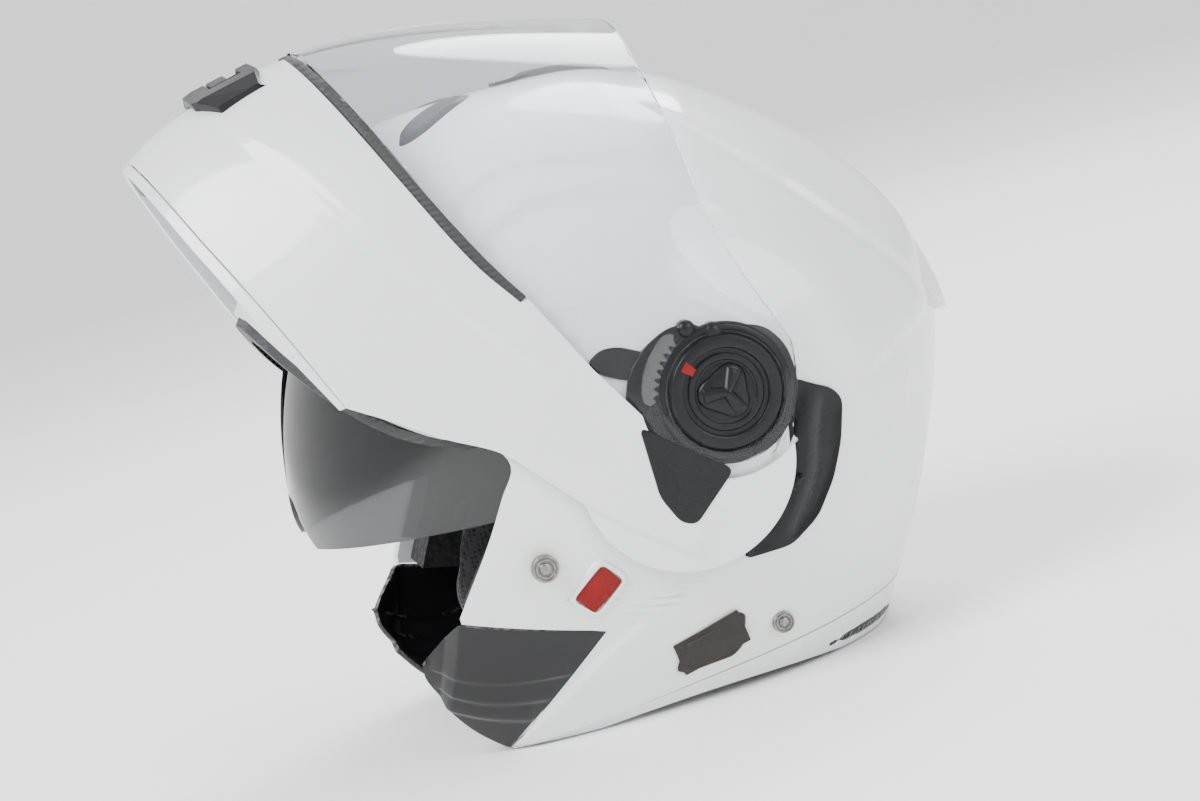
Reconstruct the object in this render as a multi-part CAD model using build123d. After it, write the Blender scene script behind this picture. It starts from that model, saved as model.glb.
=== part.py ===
from build123d import *
import os
from math import copysign, cos, pi, radians, sin

# Modular helmet with a lifting chin bar, in millimetres.
# X runs to the wearer's left, the face looks along -Y and Z runs up.
# X = 0 is the middle plane, Y = 0 is the fore and aft place of the chin bar's hinge,
# and Z = 0 is the flat under the base trim that the helmet stands on.
# The chin bar is drawn shut and then lifted to its open stop, with the clear visor shut on it.

os.makedirs("parts", exist_ok=True)

# Cuts, gaps and fits
overrun = 4.0            # how far every cutting solid runs past what it cuts
side_reach = 160.0       # half length of every solid that cuts from side to side
front_reach = 260.0      # how far forward cutting outlines run
seat_gap = 0.3           # gap between layers that lie on each other
running_gap = 0.8        # gap round pieces that move past each other
pin_play = 0.05          # radial play of a pin in its bore

# Outer shell form
shell_height = 262.0
shell_front = 157.0
shell_rear = 146.0
shell_half_width = 120.0
shell_middle = -5.0      # fore and aft place where the shell is widest
shell_wide_height = 126.0
shell_wall = 3.6
# height, front, rear and half width as shares of the four sizes above, then the roundness
shell_section_shares = [
    (0.000, 0.815, 0.623, 0.750, 2.50),
    (0.095, 0.892, 0.719, 0.858, 2.50),
    (0.210, 0.943, 0.829, 0.933, 2.45),
    (0.344, 0.975, 0.932, 0.983, 2.40),
    (0.481, 0.994, 1.000, 1.000, 2.35),
    (0.611, 1.000, 0.966, 0.975, 2.30),
    (0.725, 0.962, 0.849, 0.892, 2.25),
    (0.821, 0.862, 0.678, 0.758, 2.20),
    (0.900, 0.739, 0.493, 0.600, 2.15),
    (0.954, 0.603, 0.342, 0.433, 2.10),
    (0.988, 0.446, 0.192, 0.267, 2.00),
    (1.000, 0.287, 0.055, 0.117, 2.00),
]
# fore and aft, and height, as shares of shell_front and shell_height
eye_port_shares = [
    (-0.936, 0.765), (-0.860, 0.683), (-0.771, 0.611), (-0.605, 0.531), (-0.471, 0.494),
    (-0.427, 0.454), (-0.471, 0.408), (-0.529, 0.347), (-0.599, 0.282), (-0.650, 0.233),
]
cheek_outline_shares = [
    (-0.650, 0.233), (-0.287, 0.164), (-0.573, 0.010), (-0.586, 0.002), (-0.675, 0.053),
    (-0.758, 0.134), (-0.768, 0.176),
]
recess_outline_shares = [
    (0.357, 0.454), (0.446, 0.420), (0.456, 0.404), (0.420, 0.351), (0.380, 0.301),
    (0.305, 0.241), (0.236, 0.208), (0.124, 0.208),
]

# Front form, the outer face of the shut chin bar and visor
visor_height = 202.0     # top edge of the shut visor
chin_reach = 226.0
chin_half_width = 127.0
arm_rear_reach = 200.0   # keeps the arms nearly flat behind the hinge
front_section_shares = [
    (0.000, 0.982, 0.835, 2.00),
    (0.099, 1.000, 0.882, 2.00),
    (0.223, 1.000, 0.929, 2.05),
    (0.421, 0.969, 0.976, 2.10),
    (0.619, 0.894, 1.000, 2.15),
    (0.817, 0.785, 0.976, 2.15),
    (1.000, 0.665, 0.882, 2.15),
    (1.080, 0.611, 0.823, 2.15),
]
# fore and aft, and height, as shares of chin_reach and visor_height
chin_lower_shares = [(-0.434, 0.047), (-0.358, 0.109), (-0.292, 0.158), (-0.212, 0.228), (-0.119, 0.267)]
chin_upper_shares = [(-0.965, 0.408), (-0.677, 0.406), (-0.509, 0.413), (-0.400, 0.436)]
arm_top_shares = [(-0.400, 0.436), (-0.354, 0.485), (-0.283, 0.624), (-0.239, 0.708), (-0.164, 0.767),
                  (-0.102, 0.792)]
lip_top_shares = [(-1.040, 0.027), (-0.810, 0.035), (-0.606, 0.045), (-0.434, 0.047)]
lip_under_shares = [(-0.440, 0.040), (-0.575, 0.012), (-1.040, 0.003)]
visor_lower_shares = [(-0.965, 0.433), (-0.677, 0.431), (-0.509, 0.438), (-0.398, 0.456), (-0.235, 0.470),
                      (-0.128, 0.485)]
visor_upper_shares = [(-0.060, 0.814), (-0.124, 0.816), (-0.210, 0.819), (-0.319, 0.837),
                      (-0.434, 0.886), (-0.562, 0.941), (-0.652, 1.000)]
wedge_shares = [(-0.115, 0.475), (-0.035, 0.431), (0.035, 0.421), (0.093, 0.433), (0.080, 0.500),
                (0.053, 0.569), (-0.060, 0.646)]
leaf_shares = [(-0.243, 0.480), (-0.245, 0.525), (-0.217, 0.563), (-0.060, 0.646), (-0.164, 0.500)]

# Chin bar and its hinge
hinge_height = 101.4
chin_open_angle = 68.0
arm_disc_radius = 43.9
arm_wall = 6.2
chin_wall = 3.5
hinge_pin_radius = 5.0
hinge_pin_end = 4.6      # skin of the arm left outside the blind bore
hinge_plate_radius = 16.0
hinge_plate_thickness = 3.0
# a hollow round the hinge line that the arms swing over
hollow_face = 117.0      # half width of the hollow at the hinge
hollow_reach = 150.0
hollow_shares = [(0.000, 1.000), (0.300, 0.997), (0.400, 0.983), (0.533, 0.943), (0.667, 0.891),
                 (0.733, 0.866), (0.800, 0.838), (1.000, 0.786)]
liner_front = 16.0       # thickness of the chin foam
liner_rear_place = -144.0
liner_low = 14.0
liner_high = 70.0
gasket_depth = 4.1

# Clear visor and its side mechanism
visor_wall = 2.2
visor_swing_room = 1.6    # how far the arms lie further in, so that the raised visor's ears clear them
visor_pivot_back = -13.5
visor_pivot_height = 130.5
visor_ear_radius = 34.0
hub_radius = 23.0
hub_flange_radius = 28.0
hub_flange_thickness = 1.4
hub_floor = 121.4        # half width where the hub stands in the arm
hub_face = 128.7
hub_ring_depth = 0.7
hub_ring_width = 1.6
hub_groove_radii = (12.5, 18.0, 24.5)
boss_lobe_radius = 4.2
boss_lobe_place = 6.0
boss_height = 2.6
marker_length = 5.0
marker_width = 2.6
marker_place = 19.0
marker_angle = 155.0
plate_thickness = 0.8
wedge_lift = 0.6
lift_tab_width = 26.0
lift_tab_depth = 3.0
lift_tab_height = 3.0

# Chin vent, release button and latch
vent_half_width = 36.0
vent_low = 40.0
vent_high = 71.0
vent_foot_half_width = 20.0
vent_corner_height = 47.0
vent_lift = 4.5
vent_slider_half_width = 13.0
vent_slider_height = 8.0
vent_slider_travel = 5.0
button_half_width = 13.0
button_depth = 8.0
button_height = 8.0
button_foot = 2.0
latch_back = -65.0
latch_height = 76.0
latch_pin_radius = 5.6
latch_pin_tip = 116.6
latch_head_radius = 6.9
latch_channel_floor = 117.2
latch_mouth_gap = 0.6
hook_outer_radius = 10.6
hook_thickness = 1.4
hook_travel = 3.0

# Sun visor
sun_pivot_back = -20.0
sun_pivot_height = 135.0
sun_half_width = 104.0
sun_reach = 127.0        # from the pivots to the foremost point
sun_wall = 2.0
sun_round = 2.05
# height from the pivots and reach, as shares of sun_reach
sun_section_shares = [(-0.36, 1.000), (-0.12, 0.990), (0.10, 0.950), (0.30, 0.880), (0.48, 0.780),
                      (0.62, 0.680)]
sun_outline_shares = [(-1.060, 0.545), (-0.800, 0.545), (-0.450, 0.300), (0.040, 0.080), (0.060, -0.060),
                      (-0.150, -0.200), (-0.350, -0.300), (-0.700, -0.310), (-1.060, -0.310)]
sun_hub_radius = 9.0
sun_hub_thickness = 3.0
sun_pin_radius = 3.0
sun_pocket_half_width = 99.0
sun_pocket_reach = 111.0
sun_pocket_low_angle = 80.0
sun_pocket_high_angle = 109.0
nose_half_width = 27.0
nose_height = 24.0
bracket_width = 26.0
bracket_height = 22.0
bracket_thickness = 2.5

# Sliders and fasteners on the shell
lock_back = -46.0
lock_height = 61.0
lock_length = 17.0
lock_width = 10.5
lock_tilt = 36.0
lock_lift = 1.6
lock_depth = 2.6
lock_travel = 5.0
slide_back = -5.5
slide_height = 24.5
slide_length = 30.0
slide_width = 15.0
slide_tilt = -13.0
slide_lift = 3.2
slide_stem = 6.0
slide_travel = 14.0
rivet_back = 26.0
rivet_height = 23.5
rivet_radius = 4.6
rivet_lift = 1.4

# Lower edge
trim_front_height = 1.2
trim_rear_height = 24.0
trim_wall = 6.0
arch_length = 120.0
arch_rise = 3.0
roll_depth = 15.0
roll_height = 17.0
roll_foot = 0.6
roll_front = -58.0

# Foam liner and pads
head_height = 226.0
head_front = 120.0
head_rear = 110.0
head_half_width = 86.0
head_wide_height = 120.0
head_section_shares = [
    (0.000, 0.980, 0.760, 0.840, 2.3),
    (0.270, 1.000, 0.840, 0.920, 2.3),
    (0.490, 1.000, 0.980, 1.000, 2.3),
    (0.660, 0.930, 1.000, 1.000, 2.2),
    (0.840, 0.800, 0.840, 0.880, 2.2),
    (0.950, 0.520, 0.560, 0.580, 2.1),
    (1.000, 0.250, 0.230, 0.280, 2.0),
]
foam_foot = 20.0
foam_port_margin = 9.0
pad_thickness = 8.0
pad_low = 122.0
pad_front = 96.0
pad_channel = 9.0
pad_slot_place = 24.0
pad_slot_front = 62.0
pad_slot_rear = 84.0
pad_slot_low = 150.0
cheek_pad_back = -48.0
cheek_pad_middle = 58.0
cheek_pad_length = 88.0
cheek_pad_height = 76.0
cheek_pad_thickness = 20.0
cheek_pad_seat = 79.0
# place through the thickness, then size, for the crown and the drawn-in sides
cheek_pad_shares = [(0.00, 0.84), (0.22, 0.97), (0.50, 1.00), (0.78, 0.92), (1.00, 0.66)]
cheek_pad_round = 2.8

# Top vents and rear spoiler
hood_half_width = 13.0
hood_front = -96.0
hood_rear = 60.0
hood_lift = 1.6
front_vent_inner = 14.0
front_vent_outer = 38.0
front_vent_front = -72.0
front_vent_rear = -34.0
front_vent_lift = 1.8
top_slider_half_width = 7.0
top_slider_front = -14.0
top_slider_rear = 26.0
top_slider_travel = 8.0
top_slider_lift = 2.2
skin_depth = 2.0
spoiler_half_width = 62.0
spoiler_low = 112.0
spoiler_high = 158.0
spoiler_lift = 6.5
spoiler_front_place = 96.0
rear_vent_half_width = 30.0
rear_vent_low = 96.0
rear_vent_high = 108.0
rear_vent_lift = 1.5

# Chin strap and its ratchet buckle
strap_width = 22.0
strap_thickness = 1.8
strap_drop_height = 33.0
strap_low = 2.2
strap_bend_place = 58.0
strap_bend_height = 9.0
buckle_place = -14.0
buckle_length = 34.0
buckle_width = 27.0
buckle_wall = 1.6
buckle_height = 10.5
lever_length = 26.0
lever_thickness = 2.0
lever_width = 20.0
buckle_pin_radius = 1.5
tongue_length = 60.0
tongue_lap = 14.0
tongue_thickness = 2.2
tongue_width = 14.0
ratchet_count = 10
ratchet_pitch = 3.0
ratchet_height = 0.9

section_points = 32      # corners of every ring that a curved form is made from
curve_runs = 4           # straight runs between two places of a curved outline


def section(height, front, rear, half_width, roundness, middle):
    """Ring of points at one height: two half superellipses that meet at the widest place."""
    ring = []
    for step in range(section_points):
        angle = 2 * pi * step / section_points
        across = copysign(abs(cos(angle)) ** (2 / roundness), cos(angle))
        along = copysign(abs(sin(angle)) ** (2 / roundness), sin(angle))
        reach = front + middle if along < 0 else rear - middle
        ring.append((half_width * across, middle + reach * along, height))
    return ring


def closed_face(points):
    """Smooth closed outline through evenly counted points, so that a stack of them lofts cleanly."""
    shares = [step / len(points) for step in range(len(points) + 1)]
    edge = Edge.make_spline([Vector(*point) for point in points], periodic=True, parameters=shares)
    return make_face(edge)


def facets(rings):
    """Solid with flat facets between rings of points, and a flat face over each end ring."""
    faces = [Face(Wire.make_polygon(ring, close=True)) for ring in (rings[0], rings[-1])]
    for low, high in zip(rings, rings[1:]):
        for step in range(section_points):
            after = (step + 1) % section_points
            # the short diagonals mirror each other across the middle plane
            start, end = (step, after) if low[step][0] + low[after][0] > 0 else (after, step)
            faces.append(Face(Wire.make_polygon([low[start], low[end], high[end]], close=True)))
            faces.append(Face(Wire.make_polygon([low[start], high[end], high[start]], close=True)))
    return Solid(Shell(faces))


def drawn_in(height, inset, wide_height, top):
    """Height of a section of an inner form, drawn down above the widest place only."""
    if height <= wide_height:
        return height
    return wide_height + (height - wide_height) * (top - inset - wide_height) / (top - wide_height)


def shell_form(inset=0.0, row_count=len(shell_section_shares)):
    """The helmet's outer form, or the same form drawn in by an even inset, up to one of its sections."""
    foot = shell_section_shares[0]
    rows = [(0.0 if inset <= 0 else -overrun, foot)]
    rows += [(share[0] * shell_height, share) for share in shell_section_shares[1:row_count]]
    rings = []
    for height, (_, front, rear, width, roundness) in rows:
        rings.append(section(
            drawn_in(height, inset, shell_wide_height, shell_height),
            front * shell_front - inset, rear * shell_rear - inset,
            max(width * shell_half_width - inset, skin_depth), roundness, shell_middle))
    return facets(rings)


def head_form(inset=0.0):
    """The hollow for the head, or the same form drawn in by the lining."""
    rings = []
    for place, (share, front, rear, width, roundness) in enumerate(head_section_shares):
        height = -overrun if place == 0 else share * head_height
        rings.append(section(
            drawn_in(height, inset, head_wide_height, head_height),
            front * head_front - inset, rear * head_rear - inset,
            width * head_half_width - inset, roundness, 0.0))
    return facets(rings)


def front_form(inset=0.0):
    """The outer form of the shut chin bar and visor, or the same form drawn in."""
    rings = []
    for place, (share, front, width, roundness) in enumerate(front_section_shares):
        height = -overrun if place == 0 else share * visor_height
        rings.append(section(
            height, front * chin_reach - inset, arm_rear_reach - inset,
            width * chin_half_width - inset, roundness, 0.0))
    return facets(rings)


def placed(shares, along, up):
    """Side view places from a table of shares."""
    return [(0, back * along, height * up) for back, height in shares]


def side_cut(*curves):
    """Solid from side to side whose outline is a closed chain of curves in the middle plane."""
    return extrude(make_face(list(curves)), amount=side_reach, dir=(1, 0, 0), both=True)


def smooth_line(points):
    """Chain of short straight runs along a smooth curve through the points."""
    curve = Spline(*points)
    steps = curve_runs * (len(points) - 1)
    return Polyline(*[curve @ (step / steps) for step in range(steps + 1)])


def side_polygon(points):
    """Solid from side to side with a straight-edged outline."""
    return side_cut(Polyline(*points, close=True))


def side_rod(back, height, radius, inner, outer):
    """Round bar along X between two half widths, on the left side."""
    return Pos((inner + outer) / 2, back, height) * Rot(0, 90, 0) * Cylinder(radius, outer - inner)


def slab(x0, x1, y0, y1, z0, z1):
    """Box between two corners."""
    return Pos((x0 + x1) / 2, (y0 + y1) / 2, (z0 + z1) / 2) * Box(x1 - x0, y1 - y0, z1 - z0)


def hollow_side(depth):
    """All that lies outside the hollow that the arms swing over, moved in by a depth."""
    points = [(x * hollow_face - depth, 0, hinge_height + far * hollow_reach) for far, x in hollow_shares]
    outer = [(side_reach, 0, hinge_height + hollow_reach), (side_reach, 0, hinge_height)]
    profile = make_face(Polyline(*points, *outer, close=True))
    return revolve(profile, Axis((0, 0, hinge_height), (1, 0, 0)))


def both_sides(shape):
    """A left piece and its mirror image."""
    return shape, shape.mirror(Plane.YZ)


def lifted(shape):
    """A piece of the shut chin bar, brought to the open stop."""
    return shape.rotate(Axis((0, 0, hinge_height), (1, 0, 0)), -chin_open_angle)


def save(name, *shapes):
    """Write one node, from one solid or a group of identical ones."""
    solids = [solid for shape in shapes for solid in shape.solids()]
    whole = solids[0] if len(solids) == 1 else Compound(solids)
    export_step(whole, f"parts/{name}.step")


def largest(shape):
    """The one solid of a cut piece, without crumbs."""
    return max(shape.solids(), key=lambda solid: solid.volume)


def shell_inner():
    """The inner face of the shell."""
    return shell_form(shell_wall)


def shell_skin():
    """The floor of the shallow beds in the shell's outer face."""
    return shell_form(skin_depth)


def arm_face(depth=0.0):
    """The arm's outer face under the visor's ear, or the floor of a bed in it."""
    return front_form(visor_wall + running_gap + visor_swing_room + depth)


def hollow_sides(depth):
    """Left and right side of the hollow that the arms swing over."""
    return both_sides(hollow_side(depth))


def eye_port_cut(margin=0.0):
    """Everything in front of the eye port's edge and of the lower front edge of the shell."""
    port = placed(eye_port_shares, shell_front, shell_height)
    edge = smooth_line([(x, y + margin, z) for x, y, z in port])
    cheek = [(x, y + margin, z) for x, y, z in placed(cheek_outline_shares, shell_front, shell_height)[:4]]
    start = edge @ 0
    return side_cut(edge, Polyline(edge @ 1, *cheek[1:], (0, cheek[-1][1], -overrun), (0, -front_reach, -overrun),
                                   (0, -front_reach, shell_height), (0, start.Y, shell_height), start))


def trim_line(lift=0.0):
    """Everything under the slanted panel line above the base trim."""
    front_height = trim_front_height + lift
    rear_height = trim_rear_height + lift
    return side_polygon([
        (0, -front_reach, -overrun), (0, -front_reach, front_height),
        (0, shell_front * cheek_outline_shares[3][0], front_height),
        (0, shell_rear, rear_height), (0, front_reach, rear_height), (0, front_reach, -overrun)])


def recess_cut(margin=0.0):
    """Outline of the dark trim behind the arm's disc, as a solid from side to side."""
    rear = placed(recess_outline_shares, shell_front, shell_height)
    outline = side_polygon(rear)
    disc = side_rod(0, hinge_height, arm_disc_radius + running_gap + margin, -side_reach, side_reach)
    return outline - disc


def lock_window(margin=0.0, travel=0.0):
    """Tilted box through the shell's left side that the lock slider fills."""
    box = Box(side_reach, lock_length + margin + travel, lock_width + margin)
    return Pos(side_reach / 2, lock_back, lock_height) * Rot(lock_tilt, 0, 0) * Pos(0, -travel / 2, 0) * box


def slide_window(margin=0.0, travel=0.0):
    """Tilted box through the shell's left side for the stem of the sun visor slider."""
    box = Box(side_reach, slide_stem * 2 + margin + travel, slide_stem + margin)
    return Pos(side_reach / 2, slide_back, slide_height) * Rot(-slide_tilt, 0, 0) * Pos(0, -travel / 2, 0) * box


def build_outer_shell():
    """White outer shell with its eye port, hinge bores, hollow for the arms and slider windows."""
    cavity = shell_inner()
    shell = shell_form()
    for side in hollow_sides(shell_wall):
        cavity = cavity - side
    for side in hollow_sides(0.0):
        shell = shell - side
    shell = shell - eye_port_cut() - trim_line() - cavity
    shell = shell - (recess_cut() - shell_skin())
    bore = side_rod(0, hinge_height, hinge_pin_radius + pin_play, -side_reach, side_reach)
    rivets = side_rod(rivet_back, rivet_height, rivet_radius / 2, -side_reach, side_reach)
    latch = side_rod(latch_back, latch_height, latch_pin_radius, -side_reach, side_reach)
    shell = shell - bore - rivets - latch
    shell = shell - (lock_window(running_gap, lock_travel) - shell_form(lock_depth))
    shell = shell - slide_window(running_gap, slide_travel)
    slot = slab(-top_slider_half_width / 2, top_slider_half_width / 2, top_slider_front,
                top_slider_rear, shell_wide_height, shell_height + overrun)
    return largest(shell - slot)


def build_base_trim():
    """White lower edge under the panel line, arched at the sides, flat at its ends."""
    trim = (trim_line() & shell_form()) - shell_form(trim_wall) - eye_port_cut()
    arch_radius = (arch_length ** 2 / 4 + arch_rise ** 2) / (2 * arch_rise)
    arch = Pos(0, 0, arch_rise - arch_radius) * Rot(0, 90, 0) * Cylinder(arch_radius, 2 * side_reach)
    return largest(trim - arch)


def build_foam_liner():
    """Foam between the shell and the head, with the pocket that the sun visor rises into."""
    foam = shell_form(shell_wall + seat_gap)
    for side in hollow_sides(shell_wall + seat_gap):
        foam = foam - side
    foam = foam - head_form()
    foam = foam - slab(-side_reach, side_reach, -front_reach, front_reach, -2 * overrun, foam_foot)
    foam = foam - eye_port_cut(foam_port_margin)
    pocket = sun_pocket()
    plates = side_rod(0, hinge_height, hinge_plate_radius + seat_gap, -side_reach, side_reach)
    core = side_rod(0, hinge_height, hinge_plate_radius + overrun,
                    -hinge_seat() + seat_gap, hinge_seat() - seat_gap)
    strap_slot = slab(-side_reach, side_reach, rivet_back - strap_width / 2 - seat_gap,
                      rivet_back + strap_width / 2 + seat_gap, 0, strap_drop_height + seat_gap)
    strap_core = slab(-strap_clear(), strap_clear(), -front_reach, front_reach, 0, strap_drop_height + overrun)
    foam = foam - pocket - (plates - core) - (strap_slot - strap_core)
    latch_room = side_rod(latch_back, latch_height, latch_head_radius + seat_gap, -side_reach, side_reach)
    slide_room = slide_window(running_gap * 2, slide_travel)
    slide_core = slab(-side_reach, shell_half_width * shell_section_shares[0][3] - shell_wall * 4,
                      -front_reach, front_reach, 0, shell_height)
    foam = foam - latch_room - (slide_room - slide_core)
    for bed in both_sides(bracket_plate(seat_gap)):
        foam = foam - bed
    return largest(foam)


def hinge_seat():
    """Half width of the inner face of the hinge plates."""
    return hollow_face - shell_wall - seat_gap - hinge_plate_thickness


def strap_clear():
    """Half width inside which the foam has no slot for the strap."""
    return shell_half_width * shell_section_shares[0][3] - shell_wall * 3


def sun_pocket():
    """Space that the sun visor sweeps, outside an ellipse turned about its pivots."""
    points = []
    for step in range(section_points + 1):
        angle = pi * step / section_points
        points.append((sun_pocket_half_width * cos(angle), 0, sun_pivot_height + sun_pocket_reach * sin(angle)))
    inner = Spline(*points)
    wide = sun_half_width + running_gap * 2
    far = sun_pivot_height + side_reach
    outer = Polyline(points[-1], (-wide, 0, sun_pivot_height), (-wide, 0, far), (wide, 0, far),
                     (wide, 0, sun_pivot_height), points[0])
    profile = make_face([inner, outer]).moved(Location((0, sun_pivot_back, 0)))
    axis = Axis((0, sun_pivot_back, sun_pivot_height), (1, 0, 0))
    sweep = sun_pocket_high_angle + sun_pocket_low_angle
    pocket = revolve(profile, axis, sweep).rotate(axis, 90 - sun_pocket_high_angle)
    foot = sun_pivot_height + sun_outline_shares[-1][1] * sun_reach - 2 * running_gap
    pocket = pocket & slab(-side_reach, side_reach, -front_reach, front_reach, foot, shell_height)
    for hub in both_sides(side_rod(sun_pivot_back, sun_pivot_height, sun_hub_radius + 3 * overrun,
                                   sun_half_width - sun_hub_thickness - 2 * running_gap, wide)):
        pocket = pocket + hub
    return pocket


def build_crown_pad():
    """Comfort lining of the crown, with two air slots from front to back."""
    pad = head_form(seat_gap) - head_form(seat_gap + pad_thickness)
    low = slab(-side_reach, side_reach, -front_reach, front_reach, -2 * overrun, pad_low)
    front = slab(-side_reach, side_reach, -front_reach, -pad_front, 0, shell_height)
    pad = pad - low - front
    for place in (-pad_slot_place, pad_slot_place):
        pad = pad - slab(place - pad_channel / 2, place + pad_channel / 2, -pad_slot_front, pad_slot_rear,
                         pad_slot_low, shell_height)
    return largest(pad)


def build_cheek_pad():
    """Cheek cushion: a rounded block with a crowned face and drawn-in sides."""
    faces = []
    for through, size in cheek_pad_shares:
        points = []
        for step in range(section_points):
            angle = 2 * pi * step / section_points
            across = copysign(abs(cos(angle)) ** (2 / cheek_pad_round), cos(angle))
            up = copysign(abs(sin(angle)) ** (2 / cheek_pad_round), sin(angle))
            points.append((cheek_pad_seat - through * cheek_pad_thickness,
                           cheek_pad_back + across * size * cheek_pad_length / 2,
                           cheek_pad_middle + up * size * cheek_pad_height / 2))
        faces.append(closed_face(points))
    return largest(loft(faces) & head_form(seat_gap))


def build_neck_roll():
    """Padded roll round the rear of the neck opening."""
    low = len(shell_section_shares) // 3
    roll = shell_form(trim_wall + seat_gap, low) - shell_form(trim_wall + seat_gap + roll_depth, low)
    keep = slab(-side_reach, side_reach, roll_front, front_reach, roll_foot, roll_height)
    gate = slab(-side_reach, side_reach, rivet_back - strap_width / 2 - seat_gap,
                rivet_back + strap_width / 2 + seat_gap, roll_height / 2, strap_drop_height)
    return largest((roll & keep) - gate)


def build_brow_seal():
    """Rubber strip under the brow edge of the eye port."""
    band = eye_port_cut() - eye_port_cut().moved(Location((0, -shell_wall / 2, -shell_wall)))
    foot = eye_port_shares[4][1] * shell_height
    keep = slab(-side_reach, side_reach, -front_reach, 0, foot, shell_height)
    return largest((band & keep & shell_form(running_gap)) - shell_form(running_gap + 2 * shell_wall))


def build_cheek_cover():
    """Dark gloss cover at the lower front of each side."""
    cover = side_polygon(placed(cheek_outline_shares, shell_front, shell_height)) & shell_form()
    return largest((cover - shell_inner()) & slab(0, side_reach, -front_reach, front_reach, 0, shell_height))


def build_recess_trim():
    """Dark trim behind the arm's disc, laid in a bed in the shell."""
    trim = (recess_cut(seat_gap) & shell_form(-hub_ring_depth)) - shell_skin()
    return largest(trim & slab(0, side_reach, -front_reach, front_reach, 0, shell_height))


def build_hinge_pin():
    """Steel plate inside the shell with the pin that carries the chin bar's arm."""
    plate = side_rod(0, hinge_height, hinge_plate_radius, hinge_seat(), hinge_seat() + hinge_plate_thickness)
    pin = side_rod(0, hinge_height, hinge_pin_radius, hinge_seat(), arm_pin_tip() - seat_gap)
    return plate + pin


def arm_pin_tip():
    """Half width where the blind bore in the arm ends."""
    return chin_half_width * front_section_shares[3][2] - hinge_pin_end


def build_latch_pin():
    """Steel latch pin with a round head that the chin bar's hook takes hold of."""
    pin = side_rod(latch_back, latch_height, latch_pin_radius, latch_seat() - latch_head_radius / 2, latch_pin_tip)
    head = side_rod(latch_back, latch_height, latch_head_radius, latch_seat() - latch_head_radius / 2, latch_seat())
    return pin + head


def latch_seat():
    """Half width of the shell's inner face at the latch pin."""
    probe = side_rod(latch_back, latch_height, latch_head_radius, 0, side_reach) & shell_inner()
    return largest(probe).bounding_box().max.X - shell_wall


def build_strap_rivet():
    """Rivet that holds the chin strap, with its head outside the shell."""
    probe = side_rod(rivet_back, rivet_height, rivet_radius, 0, side_reach) & shell_form()
    face = largest(probe).bounding_box().max.X
    shank = side_rod(rivet_back, rivet_height, rivet_radius / 2, strap_wall(), face)
    return shank + side_rod(rivet_back, rivet_height, rivet_radius, face, face + rivet_lift)


def strap_wall():
    """Half width of the outer face of the strap at its rivet."""
    probe = side_rod(rivet_back + strap_width / 2, strap_bend_height * 2, skin_depth, 0, side_reach)
    return largest(probe & shell_inner()).bounding_box().max.X - skin_depth - seat_gap


def build_sun_visor():
    """Dark inner visor with its two hubs and the cut for the nose."""
    rings, inner_rings = [], []
    for place, (up, reach) in enumerate(sun_section_shares):
        height = sun_pivot_height + up * sun_reach
        rings.append(section(height, reach * sun_reach, sun_reach, sun_half_width, sun_round, 0.0))
        if place in (0, len(sun_section_shares) - 1):
            height += copysign(overrun, up)
        inner_rings.append(section(height, reach * sun_reach - sun_wall, sun_reach - sun_wall,
                                   sun_half_width - sun_wall, sun_round, 0.0))
    curved = Pos(0, sun_pivot_back, 0) * (facets(rings) - facets(inner_rings))
    outline = [(0, sun_pivot_back + y * sun_reach, sun_pivot_height + z * sun_reach) for y, z in sun_outline_shares]
    visor = curved & side_polygon(outline)
    edge = sun_pivot_height + sun_outline_shares[-1][1] * sun_reach
    nose = Pos(0, -front_reach / 2, edge) * Rot(90, 0, 0) * extrude(
        make_face(Spline((-nose_half_width, 0), (0, nose_height), (nose_half_width, 0)).edges()
                  + Line((-nose_half_width, 0), (nose_half_width, 0)).edges()), amount=front_reach / 2, both=True)
    visor = visor - nose
    for hub in both_sides(side_rod(sun_pivot_back, sun_pivot_height, sun_hub_radius,
                                   sun_half_width - sun_hub_thickness, sun_half_width)):
        visor = visor + hub
    bore = side_rod(sun_pivot_back, sun_pivot_height, sun_pin_radius + pin_play, -side_reach, side_reach)
    return largest(visor - bore)


def bracket_plate(margin=0.0):
    """Plate of the sun visor's bracket on the left side, or the bed that it lies in."""
    inner = sun_half_width + running_gap
    return slab(inner - margin, inner + bracket_thickness + margin,
                sun_pivot_back - bracket_width / 2 - margin, sun_pivot_back + bracket_width / 2 + margin,
                sun_pivot_height - bracket_height / 2 - margin, sun_pivot_height + bracket_height / 2 + margin)


def build_sun_bracket():
    """Bracket in the foam with the pin that the sun visor turns on."""
    pin = side_rod(sun_pivot_back, sun_pivot_height, sun_pin_radius,
                   sun_half_width - sun_hub_thickness - seat_gap, sun_half_width + running_gap)
    return bracket_plate() + pin


def build_lock_slider():
    """Red lock slider in its bed on the left side."""
    body = (lock_window() & shell_form(-lock_lift)) - shell_form(lock_depth - seat_gap)
    return largest(body)


def build_sun_slider():
    """Dark lever plate on the left side, on a stem that runs in the shell's slot."""
    box = Box(side_reach, slide_length, slide_width)
    outline = Pos(side_reach / 2, slide_back, slide_height) * Rot(-slide_tilt, 0, 0) * box
    plate = (outline & shell_form(-slide_lift)) - shell_form(-seat_gap)
    stem = (slide_window() & shell_form(-slide_lift / 2)) - shell_form(shell_wall + seat_gap)
    return largest(plate + stem)


def skin_patch(outline, lift, depth):
    """A patch of skin over the shell, inside a vertical outline."""
    return largest((outline & shell_form(-lift)) - shell_form(depth))


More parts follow.
